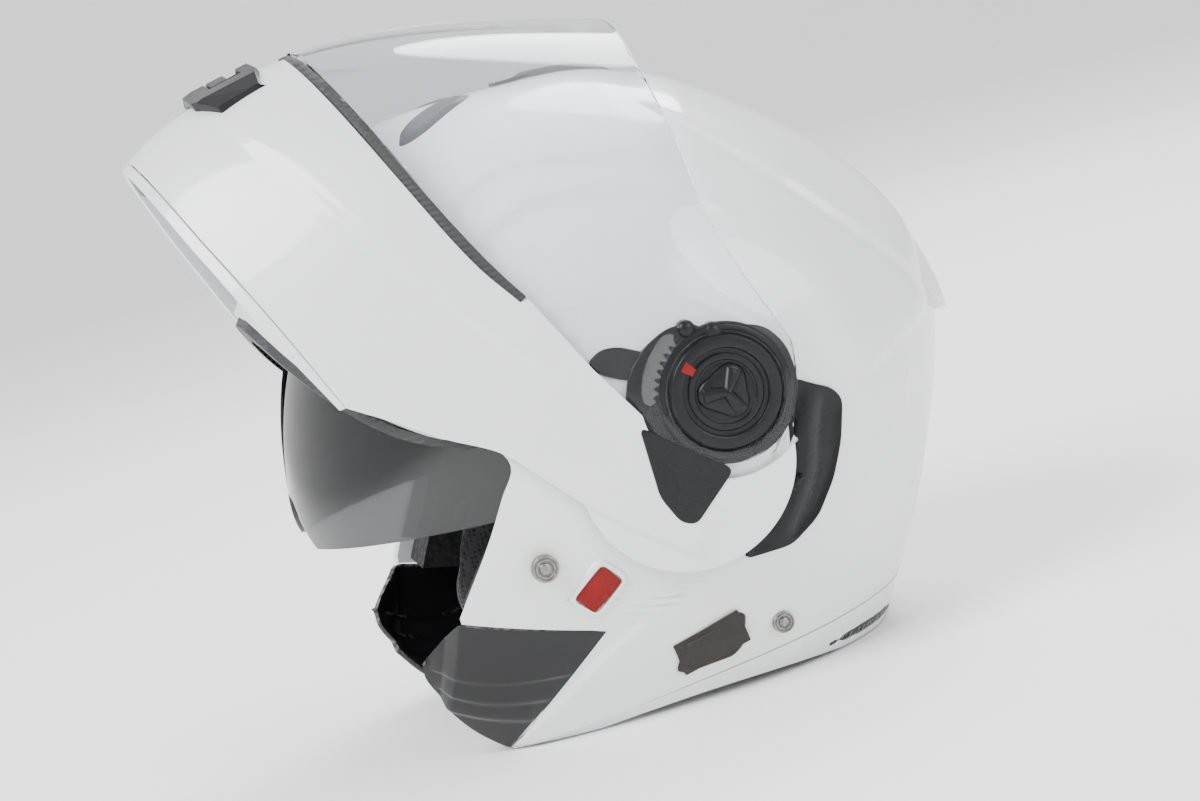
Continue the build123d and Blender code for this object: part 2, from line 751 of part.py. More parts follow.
def build_crown_hood():
    """Raised strip along the crown that covers the air channel."""
    outline = slab(-hood_half_width, hood_half_width, hood_front, hood_rear, shell_wide_height,
                   shell_height + overrun)
    room = slab(-top_slider_half_width - running_gap, top_slider_half_width + running_gap,
                top_slider_front - running_gap, top_slider_rear + top_slider_travel + running_gap,
                shell_wide_height, shell_height + 2 * overrun)
    return skin_patch(outline - room, hood_lift, 0.0)


def build_front_vent():
    """Dark slanted vent beside the crown strip."""
    points = [(front_vent_inner, front_vent_front + front_vent_outer / 2), (front_vent_outer, front_vent_front),
              (front_vent_outer - front_vent_inner / 2, front_vent_rear - front_vent_inner),
              (front_vent_inner + front_vent_lift, front_vent_rear)]
    outline = extrude(make_face(Polyline(*points, close=True)), amount=shell_height + overrun)
    return skin_patch(outline, front_vent_lift, 0.0)


def build_top_slider():
    """Dark wedge-shaped slider that shuts the crown's air channel."""
    outline = slab(-top_slider_half_width, top_slider_half_width, top_slider_front, top_slider_rear,
                   shell_wide_height, shell_height + overrun)
    plate = skin_patch(outline, top_slider_lift, -seat_gap)
    stem_outline = slab(-top_slider_half_width / 2 + running_gap, top_slider_half_width / 2 - running_gap,
                        top_slider_front + running_gap, top_slider_rear - top_slider_travel - running_gap,
                        shell_wide_height, shell_height + overrun)
    return largest(plate + skin_patch(stem_outline, seat_gap * 2, shell_wall))


def build_rear_spoiler():
    """White spoiler across the back of the shell."""
    outline = slab(-spoiler_half_width, spoiler_half_width, spoiler_front_place, front_reach,
                   spoiler_low, spoiler_high)
    return skin_patch(outline, spoiler_lift, 0.0)


def build_rear_vent():
    """Dark air outlet under the spoiler."""
    outline = slab(-rear_vent_half_width, rear_vent_half_width, spoiler_front_place, front_reach,
                   rear_vent_low, rear_vent_high)
    return skin_patch(outline, rear_vent_lift, 0.0)


def build_strap(side):
    """One half of the chin strap: a drop beside the foam, a bend and a run under the chin."""
    wall = strap_wall()
    if side > 0:
        end = buckle_place + buckle_length / 2
        low = strap_low + strap_thickness
    else:
        end = tongue_length - tongue_lap - tongue_tip()
        low = tongue_floor() + tongue_thickness + seat_gap
    outer = [(wall, strap_drop_height), (wall, strap_bend_height * 2), (strap_bend_place, low), (end, low)]
    high = low + strap_thickness
    inner = [(end, high), (strap_bend_place, high),
             (wall - strap_thickness, strap_bend_height * 2 + strap_thickness),
             (wall - strap_thickness, strap_drop_height)]
    points = [(side * x, rivet_back - strap_width / 2, z) for x, z in outer + inner]
    face = make_face(Polyline(*points, close=True))
    strap = extrude(face, amount=strap_width, dir=(0, 1, 0))
    hole = side_rod(rivet_back, rivet_height, rivet_radius / 2, -side_reach, side_reach)
    return largest(strap - hole)


def tongue_tip():
    """Place across of the tongue's tip inside the buckle."""
    return buckle_place + buckle_length / 2 - 2 * buckle_wall


def tongue_floor():
    """Height of the tongue's under face."""
    return buckle_floor() + 2 * seat_gap


def buckle_floor():
    """Height of the buckle's floor face."""
    return strap_low


def build_buckle_body():
    """Ratchet buckle: a floor with two side walls and holes for the lever's pin."""
    x0 = buckle_place - buckle_length / 2
    x1 = buckle_place + buckle_length / 2
    y0 = rivet_back - buckle_width / 2
    y1 = rivet_back + buckle_width / 2
    body = slab(x0, x1, y0, y1, buckle_floor() - buckle_wall + seat_gap, buckle_floor() + seat_gap)
    for y in (y0, y1 - buckle_wall):
        body = body + slab(x0, x1, y, y + buckle_wall, buckle_floor() - buckle_wall + seat_gap,
                           buckle_floor() + buckle_height)
    anchor = slab(x1 - buckle_wall, x1, y0, y1, buckle_floor() - buckle_wall + seat_gap,
                  buckle_floor() + 2 * strap_thickness)
    body = body + anchor
    return body - buckle_pin_hole(buckle_pin_radius)


def buckle_pin_hole(radius):
    """Bar along Y through both walls of the buckle."""
    height = buckle_floor() + buckle_height - 2 * buckle_pin_radius
    back = buckle_place - buckle_length / 2 + 2 * buckle_pin_radius
    return Pos(back, rivet_back, height) * Rot(90, 0, 0) * Cylinder(radius, buckle_width)


def build_buckle_lever():
    """Lever over the buckle, turning on the pin, with a pawl that drops into the ratchet."""
    height = buckle_floor() + buckle_height - 2 * buckle_pin_radius
    back = buckle_place - buckle_length / 2 + 2 * buckle_pin_radius
    barrel = Pos(back, rivet_back, height) * Rot(90, 0, 0) * Cylinder(2 * buckle_pin_radius, lever_width)
    plate = slab(back, back + lever_length, rivet_back - lever_width / 2, rivet_back + lever_width / 2,
                 height + 2 * buckle_pin_radius - lever_thickness, height + 2 * buckle_pin_radius)
    lever = barrel + plate
    return largest(lever - buckle_pin_hole(buckle_pin_radius + pin_play))


def build_buckle_tongue():
    """Toothed tongue that runs into the buckle."""
    x1 = tongue_tip()
    x0 = x1 - tongue_length
    z0 = tongue_floor()
    tongue = slab(x0, x1, rivet_back - tongue_width / 2, rivet_back + tongue_width / 2, z0, z0 + tongue_thickness)
    for tooth in range(ratchet_count):
        x = x1 - (tooth + 1) * ratchet_pitch
        points = [(x, 0, z0 + tongue_thickness), (x, 0, z0 + tongue_thickness + ratchet_height),
                  (x + ratchet_pitch, 0, z0 + tongue_thickness)]
        wedge = extrude(make_face(Polyline(*points, close=True)), amount=tongue_width / 2 - buckle_wall,
                        dir=(0, 1, 0), both=True)
        tongue = tongue + wedge.moved(Location((0, rivet_back, 0)))
    return tongue


def chin_outline():
    """Side view of the shut chin bar's front part, up to its upper edge."""
    lower = placed(chin_lower_shares, chin_reach, visor_height)
    upper = placed(chin_upper_shares, chin_reach, visor_height)
    lip = placed(lip_top_shares, chin_reach, visor_height)
    front = (0, -front_reach, upper[0][2])
    return side_cut(Polyline(*lip), smooth_line(lower), smooth_line(upper),
                    Polyline(lower[-1], upper[-1]), Polyline(upper[0], front, (0, -front_reach, lip[0][2]), lip[0]))


def arm_outline():
    """Side view of the arm round the visor's mechanism, joined to the disc at the hinge."""
    top = placed(arm_top_shares, chin_reach, visor_height)
    lower = placed(chin_lower_shares, chin_reach, visor_height)
    arm = side_cut(smooth_line(top), Polyline(top[-1], (0, 0, hinge_height), lower[-1], top[0]))
    disc = side_rod(0, hinge_height, arm_disc_radius, -side_reach, side_reach)
    ear = side_rod(visor_pivot_back, visor_pivot_height, hub_flange_radius + overrun / 2, -side_reach, side_reach)
    return arm + disc + ear


def visor_outline(margin=0.0):
    """Side view of the shut visor, with round ears at its pivots."""
    low = [(x, y, z - margin) for x, y, z in placed(visor_lower_shares, chin_reach, visor_height)]
    high = [(x, y, z + margin) for x, y, z in placed(visor_upper_shares, chin_reach, visor_height)]
    pivot = (0, visor_pivot_back, visor_pivot_height)
    front = side_cut(smooth_line(low), Polyline(low[-1], pivot, high[0]), smooth_line(high),
                     Polyline(high[-1], (0, -front_reach, high[-1][2]), (0, -front_reach, low[0][2]), low[0]))
    ear = side_rod(visor_pivot_back, visor_pivot_height, visor_ear_radius + margin, -side_reach, side_reach)
    return front + ear


def hub_places(radius, inner, outer):
    """Round bar on the visor's pivot line, on the left side."""
    return side_rod(visor_pivot_back, visor_pivot_height, radius, inner, outer)


def base_plate_outline():
    """Side view of the visor's base plate: a leaf, a ring under the hub and a shield-shaped end."""
    leaf = side_polygon(placed(leaf_shares, chin_reach, visor_height))
    wedge = side_polygon(placed(wedge_shares, chin_reach, visor_height))
    return leaf + wedge + hub_places(hub_flange_radius + overrun / 2, -side_reach, side_reach)


def base_plate_low():
    """Part of the visor's base plate that lies under the visor's ear."""
    plate = (base_plate_outline() & arm_face()) - arm_face(plate_thickness)
    return plate & slab(0, side_reach, -front_reach, front_reach, 0, shell_height)


def base_plate_high():
    """Shield-shaped end of the base plate, outside the visor's ear."""
    wedge = side_polygon(placed(wedge_shares, chin_reach, visor_height))
    wedge = wedge - hub_places(visor_ear_radius + 2 * running_gap, -side_reach, side_reach)
    shield = (wedge & front_form(-wedge_lift)) - arm_face(plate_thickness)
    return shield & slab(0, side_reach, -front_reach, front_reach, 0, shell_height)


def build_base_plate():
    """Dark plate that carries the visor's hub on each arm."""
    plate = base_plate_low() + base_plate_high()
    return largest(plate - hub_places(hub_radius, 0, side_reach))


def build_chin_bar():
    """White chin bar with its two arms, drawn shut."""
    front = (chin_outline() & front_form()) - front_form(chin_wall)
    arms = (arm_outline() & front_form()) - front_form(arm_wall)
    bar = front + arms
    bar = bar - (visor_outline(running_gap) - arm_face())
    swept = side_rod(0, hinge_height, hollow_reach * hollow_shares[5][0], -side_reach, side_reach)
    for side in hollow_sides(-seat_gap):
        swept = swept - side
    bar = bar - swept
    for bed in both_sides((base_plate_outline() & slab(0, side_reach, -front_reach, front_reach, 0, shell_height))
                          - arm_face(plate_thickness)):
        bar = bar - bed
    for hub in both_sides(hub_places(hub_radius, hub_floor, side_reach)):
        bar = bar - hub
    for bore in both_sides(side_rod(0, hinge_height, hinge_pin_radius + pin_play, 0, arm_pin_tip())):
        bar = bar - bore
    for room in both_sides(latch_room()):
        bar = bar - room
    window = vent_window()
    return largest(bar - window)


def latch_room():
    """Channel in the arm's inner face that the latch pin runs along, with room for the hook."""
    distance = (latch_back ** 2 + (latch_height - hinge_height) ** 2) ** 0.5
    wide = latch_pin_radius + 2 * running_gap
    outer = side_rod(0, hinge_height, distance + wide, 0, latch_channel_floor)
    inner = side_rod(0, hinge_height, distance - wide, 0, latch_channel_floor)
    block = slab(0, side_reach, latch_back, 0, 0, latch_height)
    hook = side_rod(latch_back, latch_height, hook_outer_radius + running_gap, 0, latch_channel_floor)
    moved = hook.moved(Location(hook_step(hook_travel)))
    return ((outer - inner) & block) + hook + moved


def hook_direction():
    """Unit direction in which the hook lets go: forward along the shut arm."""
    distance = (latch_back ** 2 + (latch_height - hinge_height) ** 2) ** 0.5
    return ((hinge_height - latch_height) / distance, latch_back / distance)


def hook_step(travel):
    """Move of the hook along its travel in the shut chin bar."""
    back, up = hook_direction()
    return (0, -back * travel, -up * travel)


def build_latch_hook():
    """Fork-shaped steel hook in the arm that holds the latch pin."""
    inner = latch_channel_floor - seat_gap - hook_thickness
    outer = latch_channel_floor - seat_gap
    ring = side_rod(latch_back, latch_height, hook_outer_radius, inner, outer)
    hole = side_rod(latch_back, latch_height, latch_pin_radius + latch_mouth_gap, inner - overrun, outer + overrun)
    back, up = hook_direction()
    reach = hook_outer_radius + overrun
    wide = latch_pin_radius + latch_mouth_gap
    across = (-up, back)
    points = [(0, latch_back + across[0] * wide, latch_height + across[1] * wide),
              (0, latch_back - across[0] * wide, latch_height - across[1] * wide),
              (0, latch_back - across[0] * wide + back * reach, latch_height - across[1] * wide + up * reach),
              (0, latch_back + across[0] * wide + back * reach, latch_height + across[1] * wide + up * reach)]
    return largest(ring - hole - side_polygon(points))


def build_chin_lip():
    """White lip along the lower edge of the chin bar."""
    top = placed(lip_top_shares, chin_reach, visor_height)
    under = placed(lip_under_shares, chin_reach, visor_height)
    outline = side_polygon(top + under)
    return largest((outline & front_form()) - front_form(arm_wall))


def build_chin_liner():
    """Foam inside the chin bar."""
    outline = side_polygon([(0, -front_reach, liner_low), (0, liner_rear_place, liner_low),
                            (0, liner_rear_place, liner_high), (0, -front_reach, liner_high)])
    liner = (outline & front_form(chin_wall + seat_gap)) - front_form(chin_wall + liner_front)
    return largest(liner - vent_window())


def build_gasket():
    """Rubber seal on the chin bar's upper edge, under the visor."""
    low = placed(chin_upper_shares, chin_reach, visor_height)
    high = [(x, y, z - seat_gap) for x, y, z in placed(visor_lower_shares[:4], chin_reach, visor_height)]
    band = side_cut(smooth_line(low), smooth_line(high), Polyline(low[-1], high[-1]),
                    Polyline(high[0], (0, -front_reach, high[0][2]), (0, -front_reach, low[0][2]), low[0]))
    rear = slab(-side_reach, side_reach, low[-1][1] - seat_gap, front_reach, 0, shell_height)
    return largest((band & front_form(seat_gap)) - front_form(seat_gap + gasket_depth) - rear)


def vent_window():
    """Window in the chin bar behind the vent's slider."""
    middle = (vent_low + vent_high) / 2
    return slab(-vent_slider_half_width - vent_slider_height, vent_slider_half_width + vent_slider_height,
                -front_reach, -chin_reach / 2, middle - vent_slider_height, middle + vent_slider_height)


def build_chin_vent():
    """Dark faceted vent on the front of the chin bar."""
    points = [(-vent_foot_half_width, vent_low), (vent_foot_half_width, vent_low),
              (vent_half_width, vent_corner_height), (vent_half_width, vent_high - vent_lift),
              (vent_foot_half_width, vent_high), (-vent_foot_half_width, vent_high),
              (-vent_half_width, vent_high - vent_lift), (-vent_half_width, vent_corner_height)]
    face = make_face(Polyline(*[(x, 0, z) for x, z in points], close=True))
    outline = extrude(face, amount=front_reach, dir=(0, -1, 0))
    cover = (outline & front_form(-vent_lift)) - front_form(-seat_gap / 2)
    middle = (vent_low + vent_high) / 2
    track = slab(-vent_slider_half_width - running_gap, vent_slider_half_width + running_gap, -front_reach,
                 -chin_reach / 2, middle - vent_slider_height / 2 - running_gap,
                 middle + vent_slider_height / 2 + vent_slider_travel + running_gap)
    return largest(cover - track)


def build_vent_slider():
    """Slider that opens the chin vent."""
    middle = (vent_low + vent_high) / 2
    outline = slab(-vent_slider_half_width, vent_slider_half_width, -front_reach, -chin_reach / 2,
                   middle - vent_slider_height / 2, middle + vent_slider_height / 2)
    return largest((outline & front_form(-vent_lift)) - front_form(seat_gap))


def build_release_button():
    """Button behind the lip that lets the chin bar's hooks go."""
    back = -chin_reach * front_section_shares[0][1] + arm_wall
    button = slab(-button_half_width, button_half_width, back, back + button_depth, button_foot,
                  button_foot + button_height)
    return button & front_form(arm_wall + running_gap)


def build_hub():
    """Dark hub with rings that carries the visor's ear under its flange."""
    hub = hub_places(hub_radius, hub_floor, hub_face)
    flange = hub_places(hub_flange_radius, hub_face - hub_flange_thickness, hub_face)
    hub = hub + flange
    for radius in hub_groove_radii:
        ring = (hub_places(radius, hub_face - hub_ring_depth, hub_face + overrun)
                - hub_places(radius - hub_ring_width, hub_face - overrun, hub_face + 2 * overrun))
        hub = hub - ring
    return hub - marker_block(0.0)


def marker_block(lift):
    """Small block set in the hub's face as its index mark."""
    angle = radians(marker_angle)
    back = visor_pivot_back + marker_place * cos(angle)
    height = visor_pivot_height + marker_place * sin(angle)
    block = Box(hub_ring_depth * 2 + lift, marker_length, marker_width)
    middle = hub_face - hub_ring_depth + lift / 2
    return Pos(middle, back, height) * Rot(marker_angle, 0, 0) * block


def build_boss():
    """Three-lobed boss in the middle of the hub."""
    boss = hub_places(boss_lobe_radius, hub_face, hub_face + boss_height)
    for lobe in range(3):
        angle = radians(90 + 120 * lobe)
        boss = boss + side_rod(visor_pivot_back + boss_lobe_place * cos(angle),
                               visor_pivot_height + boss_lobe_place * sin(angle),
                               boss_lobe_radius, hub_face, hub_face + boss_height)
    return boss


def build_visor():
    """Clear visor with round ears and a lifting tab at its lower edge."""
    visor = (visor_outline() & front_form()) - front_form(visor_wall)
    for bore in both_sides(hub_places(hub_radius + seat_gap, 0, side_reach)):
        visor = visor - bore
    foot = visor_height * visor_lower_shares[0][1]
    tab = slab(-lift_tab_width / 2, lift_tab_width / 2, -front_reach, -chin_reach / 2, foot, foot + lift_tab_height)
    tab = (tab & front_form(-lift_tab_depth)) - front_form()
    return largest(visor + tab)


def main():
    save("outer_shell", build_outer_shell())
    save("base_trim", build_base_trim())
    save("foam_liner", build_foam_liner())
    save("crown_pad", build_crown_pad())
    save("neck_roll", build_neck_roll())
    save("brow_seal", build_brow_seal())
    for part_name, shape in (("cheek_pad", build_cheek_pad()), ("cheek_cover", build_cheek_cover()),
                             ("recess_trim", build_recess_trim()), ("front_vent", build_front_vent())):
        left, right = both_sides(shape)
        save(part_name + "_left", left)
        save(part_name + "_right", right)
    save("hinge_pins", *both_sides(build_hinge_pin()))
    save("latch_pins", *both_sides(build_latch_pin()))
    save("strap_rivets", *both_sides(build_strap_rivet()))
    save("sun_visor_brackets", *both_sides(build_sun_bracket()))
    save("sun_visor", build_sun_visor())
    save("sun_visor_slider", build_sun_slider())
    save("lock_slider", build_lock_slider())
    save("crown_hood", build_crown_hood())
    save("crown_vent_slider", build_top_slider())
    save("rear_spoiler", build_rear_spoiler())
    save("rear_vent", build_rear_vent())
    save("chin_strap_left", build_strap(1))
    save("chin_strap_right", build_strap(-1))
    save("buckle_body", build_buckle_body())
    save("buckle_pin", buckle_pin_hole(buckle_pin_radius))
    save("buckle_lever", build_buckle_lever())
    save("buckle_tongue", build_buckle_tongue())
    save("chin_bar_shell", lifted(build_chin_bar()))
    save("chin_bar_lip", lifted(build_chin_lip()))
    save("chin_bar_liner", lifted(build_chin_liner()))
    save("visor_gasket", lifted(build_gasket()))
    save("chin_vent", lifted(build_chin_vent()))
    save("chin_vent_slider", lifted(build_vent_slider()))
    save("release_button", lifted(build_release_button()))
    for part_name, shape in (("latch_hook", build_latch_hook()), ("visor_base", build_base_plate()),
                             ("visor_hub", build_hub())):
        left, right = both_sides(shape)
        save(part_name + "_left", lifted(left))
        save(part_name + "_right", lifted(right))
    save("hub_bosses", *[lifted(shape) for shape in both_sides(build_boss())])
    save("hub_marks", *[lifted(shape) for shape in both_sides(marker_block(seat_gap))])
    save("visor", lifted(build_visor()))


main()
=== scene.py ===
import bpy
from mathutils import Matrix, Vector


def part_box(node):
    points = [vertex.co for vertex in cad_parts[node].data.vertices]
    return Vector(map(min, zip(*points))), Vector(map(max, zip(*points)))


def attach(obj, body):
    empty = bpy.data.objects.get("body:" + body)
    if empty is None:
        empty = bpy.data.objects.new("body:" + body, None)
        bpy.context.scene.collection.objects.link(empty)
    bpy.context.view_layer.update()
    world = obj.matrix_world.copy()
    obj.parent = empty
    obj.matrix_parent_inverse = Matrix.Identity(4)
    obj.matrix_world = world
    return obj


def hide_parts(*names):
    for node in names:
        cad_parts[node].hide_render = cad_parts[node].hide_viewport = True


bl_info = {
    "name": "Flip Front Helmet",
    "version": (1, 0, 0),
    "blender": (4, 5, 0),
    "location": "View3D > Sidebar > Helmet",
    "description": "Builds the looks of a flip front motorcycle helmet round its solid parts",
    "category": "Object",
}

from contextlib import contextmanager
from math import cos, pi, radians, sin

import bmesh
import bpy
import numpy as np
from bpy.props import FloatProperty, FloatVectorProperty, PointerProperty
from bpy.types import Operator, Panel, PropertyGroup
from mathutils import Matrix, Vector

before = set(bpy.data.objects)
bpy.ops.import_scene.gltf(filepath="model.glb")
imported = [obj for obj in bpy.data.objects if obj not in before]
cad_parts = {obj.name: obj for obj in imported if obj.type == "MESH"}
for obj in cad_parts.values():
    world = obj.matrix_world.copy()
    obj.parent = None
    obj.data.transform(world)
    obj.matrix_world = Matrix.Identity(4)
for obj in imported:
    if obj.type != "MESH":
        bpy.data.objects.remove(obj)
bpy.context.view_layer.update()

MM = 0.001
# Points inside the shell and inside the raised chin bar, that their pieces look away from.
SHELL_CENTRE = (0.0, 0.0, 130.0)
BAR_CENTRE = (0.0, -40.0, 190.0)
HINGE_HEIGHT = 101.4
OPEN_ANGLE = radians(68.0)
VISOR_PIVOT = (-13.5, 130.5)
# Middle of the visor's detent strip, by its distance from the pivot.
DETENT_RADIUS = 31.4
# Level above which an inner form is lowered with its inset.
WAIST_HEIGHT = 126.0
# Level below which the shell's rows follow the panel line over the base trim.
SKIRT_HEIGHT = 70.0
LATCH = (-65.0, 76.0)

# Level outlines of the shell: height, front, rear, half width, roundness, in millimetres.
SHELL_ROWS = [(0.0, 128.0, 91.0, 90.0, 2.50), (24.9, 140.0, 105.0, 103.0, 2.50),
              (55.0, 148.1, 121.0, 112.0, 2.45), (90.1, 153.1, 136.1, 118.0, 2.40),
              (126.0, 156.1, 146.0, 120.0, 2.35), (160.1, 157.0, 141.0, 117.0, 2.30),
              (190.0, 151.0, 124.0, 107.0, 2.25), (215.1, 135.3, 99.0, 91.0, 2.20),
              (235.8, 116.0, 72.0, 72.0, 2.15), (249.9, 94.7, 49.9, 52.0, 2.10),
              (258.9, 70.0, 28.0, 32.0, 2.00), (261.6, 45.0, 12.0, 17.0, 2.00),
              (262.0, 26.0, 4.0, 8.0, 2.00), (262.1, 5.4, -4.6, 0.4, 2.00), ]
# Level outlines of the shut chin bar and visor.
FRONT_ROWS = [(0.0, 221.9, 200.0, 106.0, 2.00), (20.0, 226.0, 200.0, 112.0, 2.00),
              (45.0, 226.0, 200.0, 118.0, 2.05), (85.0, 219.0, 200.0, 124.0, 2.10),
              (125.0, 202.0, 200.0, 127.0, 2.15), (165.0, 177.4, 200.0, 124.0, 2.15),
              (202.0, 150.3, 200.0, 112.0, 2.15), (218.2, 138.1, 200.0, 104.5, 2.15), ]
# Half width of the hollow that the arms swing over, by distance from the hinge line.
HOLLOW_FAR = [0.0, 45.0, 60.0, 80.0, 100.0, 110.0, 120.0, 150.0]
HOLLOW_WIDE = [117.0, 116.7, 115.0, 110.3, 104.2, 101.3, 98.0, 92.0]

EYE_PORT = [(-147.0, 200.4), (-135.0, 178.9), (-121.0, 160.1), (-95.0, 139.1), (-73.9, 129.4),
            (-67.0, 118.9), (-73.9, 106.9), (-83.1, 90.9), (-94.0, 73.9), (-102.0, 61.0)]
SHELL_TIP = (-92.0, 2.6)
# Edge of the shell behind the cheek cover: level and place behind the middle.
SHELL_LOW_EDGE = [(2.6, -91.5), (41.6, -46.0), (61.1, -102.0)]
CHIN_LOWER = [(-98.1, 9.5), (-80.9, 22.0), (-66.0, 31.9), (-47.9, 46.1), (-26.9, 53.9)]
CHIN_UPPER = [(-218.1, 82.4), (-153.0, 82.0), (-115.0, 83.4), (-90.4, 88.1)]
ARM_TOP = [(-90.4, 88.1), (-80.0, 98.0), (-64.0, 126.0), (-54.0, 143.0), (-37.1, 154.9), (-23.1, 160.0)]
VISOR_LOWER = [(-218.1, 87.5), (-153.0, 87.1), (-115.0, 88.5), (-89.9, 92.1), (-53.1, 94.9), (-36.0, 98.5)]
VISOR_UPPER = [(-150.3, 202.0), (-130.0, 190.6), (-98.1, 179.0), (-72.1, 169.1), (-47.5, 165.4),
               (-28.0, 164.8), (-13.5, 164.5)]

# Outlines on the shell's side: the trim behind the disc, the lock slider's window, the sun visor slider.
RECESS = [(52.0, 121.0), (68.5, 111.5), (71.8, 106.0), (67.0, 90.0), (60.0, 76.0), (49.5, 62.5),
          (36.0, 54.6), (14.0, 55.2), (36.0, 72.0), (45.5, 88.0), (48.0, 106.0)]
LOCK_WINDOW = [(-56.5, 59.5), (-42.5, 70.5), (-35.5, 62.0), (-49.0, 51.5)]
SLIDE_WINDOW = [(-22.0, 17.0), (-17.0, 28.5), (7.5, 34.5), (11.0, 32.0), (8.0, 19.0), (3.0, 15.5),
                (-18.0, 14.8)]


class Form:
    """A rounded form through level outlines, smooth in its curvature."""

    def __init__(self, rows, middle):
        self.rows = np.array(rows, float)
        self.middle = middle
        steps = np.hypot(np.diff(self.rows[:, 0]), np.diff(self.rows[:, 1]))
        self.along = np.concatenate([[0.0], np.cumsum(steps)])
        self.bend = self._bends()
        self.fine = np.linspace(0.0, self.along[-1], 4000)
        self.fine_height = np.maximum.accumulate(self._at(self.fine)[:, 0])

    def _bends(self):
        gaps = np.diff(self.along)
        count = len(self.along)
        matrix, right = np.eye(count), np.zeros_like(self.rows)
        for place in range(1, count - 1):
            matrix[place, place - 1] = gaps[place - 1]
            matrix[place, place] = 2 * (gaps[place - 1] + gaps[place])
            matrix[place, place + 1] = gaps[place]
            matrix[place, place - 1:place + 2] /= 6
            right[place] = ((self.rows[place + 1] - self.rows[place]) / gaps[place]
                            - (self.rows[place] - self.rows[place - 1]) / gaps[place - 1])
        return np.linalg.solve(matrix, right)

    def _at(self, along):
        along = np.clip(np.atleast_1d(along), 0.0, self.along[-1])
        place = np.clip(np.searchsorted(self.along, along, side="right") - 1, 0, len(self.along) - 2)
        gap = self.along[place + 1] - self.along[place]
        low, high = (self.along[place + 1] - along)[:, None], (along - self.along[place])[:, None]
        gap = gap[:, None]
        return (self.bend[place] * low ** 3 / (6 * gap) + self.bend[place + 1] * high ** 3 / (6 * gap)
                + (self.rows[place] / gap - self.bend[place] * gap / 6) * low
                + (self.rows[place + 1] / gap - self.bend[place + 1] * gap / 6) * high)

    def along_of(self, height):
        return float(np.interp(height, self.fine_height, self.fine))

    def lay(self, turn, way, inset=0.0):
        """Points of the left side by their turns round the form and their ways up it."""
        height, front, rear, half, rounding = self._at(way).T
        top, waist = self.rows[-1, 0], WAIST_HEIGHT
        height = np.where(height > waist, waist + (height - waist) * (top - inset - waist) / (top - waist),
                          height)
        across, back = np.maximum(np.cos(turn), 0.0), np.sin(turn)
        reach = np.where(back < 0, np.maximum(front - inset + self.middle, 0.05),
                         np.maximum(rear - inset - self.middle, 0.05))
        half = np.maximum(half - inset, 0.02)
        return np.stack([half * across ** (2 / rounding),
                         self.middle + reach * np.abs(back) ** (2 / rounding) * np.sign(back), height],
                        axis=1)

    def lay_lifted(self, turn, way, inset, lift):
        """The same points moved out along the surface by a lift of each point."""
        step = 0.002
        points = self.lay(turn, way, inset)
        round_it = self.lay(turn + step, way, inset) - self.lay(turn - step, way, inset)
        up_it = self.lay(turn, way + 0.4, inset) - self.lay(turn, way - 0.4, inset)
        out = np.cross(round_it, up_it)
        size = np.linalg.norm(out, axis=1)
        out /= np.maximum(size, 1e-9)[:, None]
        middle = np.array([0.0, 0.0, 120.0])
        out *= np.where(np.sum(out * (points - middle), axis=1) < 0, -1.0, 1.0)[:, None]
        out[size < 1e-7] = 0.0
        return points + out * np.asarray(lift)[:, None]

    def angle(self, y, height):
        """Turn at which the form's left side passes a place of the side view."""
        _, front, rear, _, rounding = self._at(self.along_of(height))[0]
        reach = front + self.middle if y < self.middle else rear - self.middle
        share = min(abs(y - self.middle) / reach, 1.0)
        turn = float(np.arcsin(share ** (rounding / 2)))
        return -turn if y < self.middle else turn

    def find(self, flat):
        """Turns and ways of the left side at places of the side view."""
        return (np.array([self.angle(y, z) for y, z in flat]),
                np.interp(flat[:, 1], self.fine_height, self.fine))


SHELL = Form(SHELL_ROWS, -5.0)
FRONT = Form(FRONT_ROWS, 0.0)


def smooth(points, count=12):
    """Points along a smooth curve through the given ones, of two or three numbers each."""
    places = np.array(points, float)
    if len(places) == 2:
        return [tuple(places[0] + (places[1] - places[0]) * k / count) for k in range(count + 1)]
    padded = np.vstack([2 * places[0] - places[1], places, 2 * places[-1] - places[-2]])
    result = []
    for place in range(1, len(padded) - 2):
        before, start, end, after = padded[place - 1:place + 3]
        for step in range(count):
            t = step / count
            result.append(tuple(0.5 * (2 * start + (end - before) * t
                                       + (2 * before - 5 * start + 4 * end - after) * t * t
                                       + (3 * start - before - 3 * end + after) * t ** 3)))
    result.append(tuple(places[-1]))
    return result


def arc(middle, radius, start, end, count):
    """Points of a circle's arc in the side view, by its angles in degrees."""
    turns = np.radians(np.linspace(start, end, count + 1))
    return [(middle[0] + radius * cos(turn), middle[1] + radius * sin(turn)) for turn in turns]


def spread(points, count):
    """The same line with evenly spaced points."""
    line = np.array([tuple(point) for point in points], float)
    steps = np.linalg.norm(np.diff(line, axis=0), axis=1)
    along = np.concatenate([[0.0], np.cumsum(steps)])
    places = np.linspace(0.0, along[-1], count + 1)
    return np.stack([np.interp(places, along, line[:, axis]) for axis in range(line.shape[1])], axis=1)


def about(place, wide, radius, turn):
    """Point at a half width, by its distance and turn about a line across the helmet."""
    return Vector((wide, place[0] + radius * cos(turn), place[1] + radius * sin(turn)))


def lift_up(point):
    """A point of the shut chin bar or visor, moved to the open stop."""
    y, z = point[1], point[2] - HINGE_HEIGHT
    return Vector((point[0], y * cos(OPEN_ANGLE) + z * sin(OPEN_ANGLE),
                   HINGE_HEIGHT - y * sin(OPEN_ANGLE) + z * cos(OPEN_ANGLE)))


def new_object(name, data):
    """Object of some data, linked into the scene."""
    thing = bpy.data.objects.new(name, data)
    bpy.context.scene.collection.objects.link(thing)
    return thing


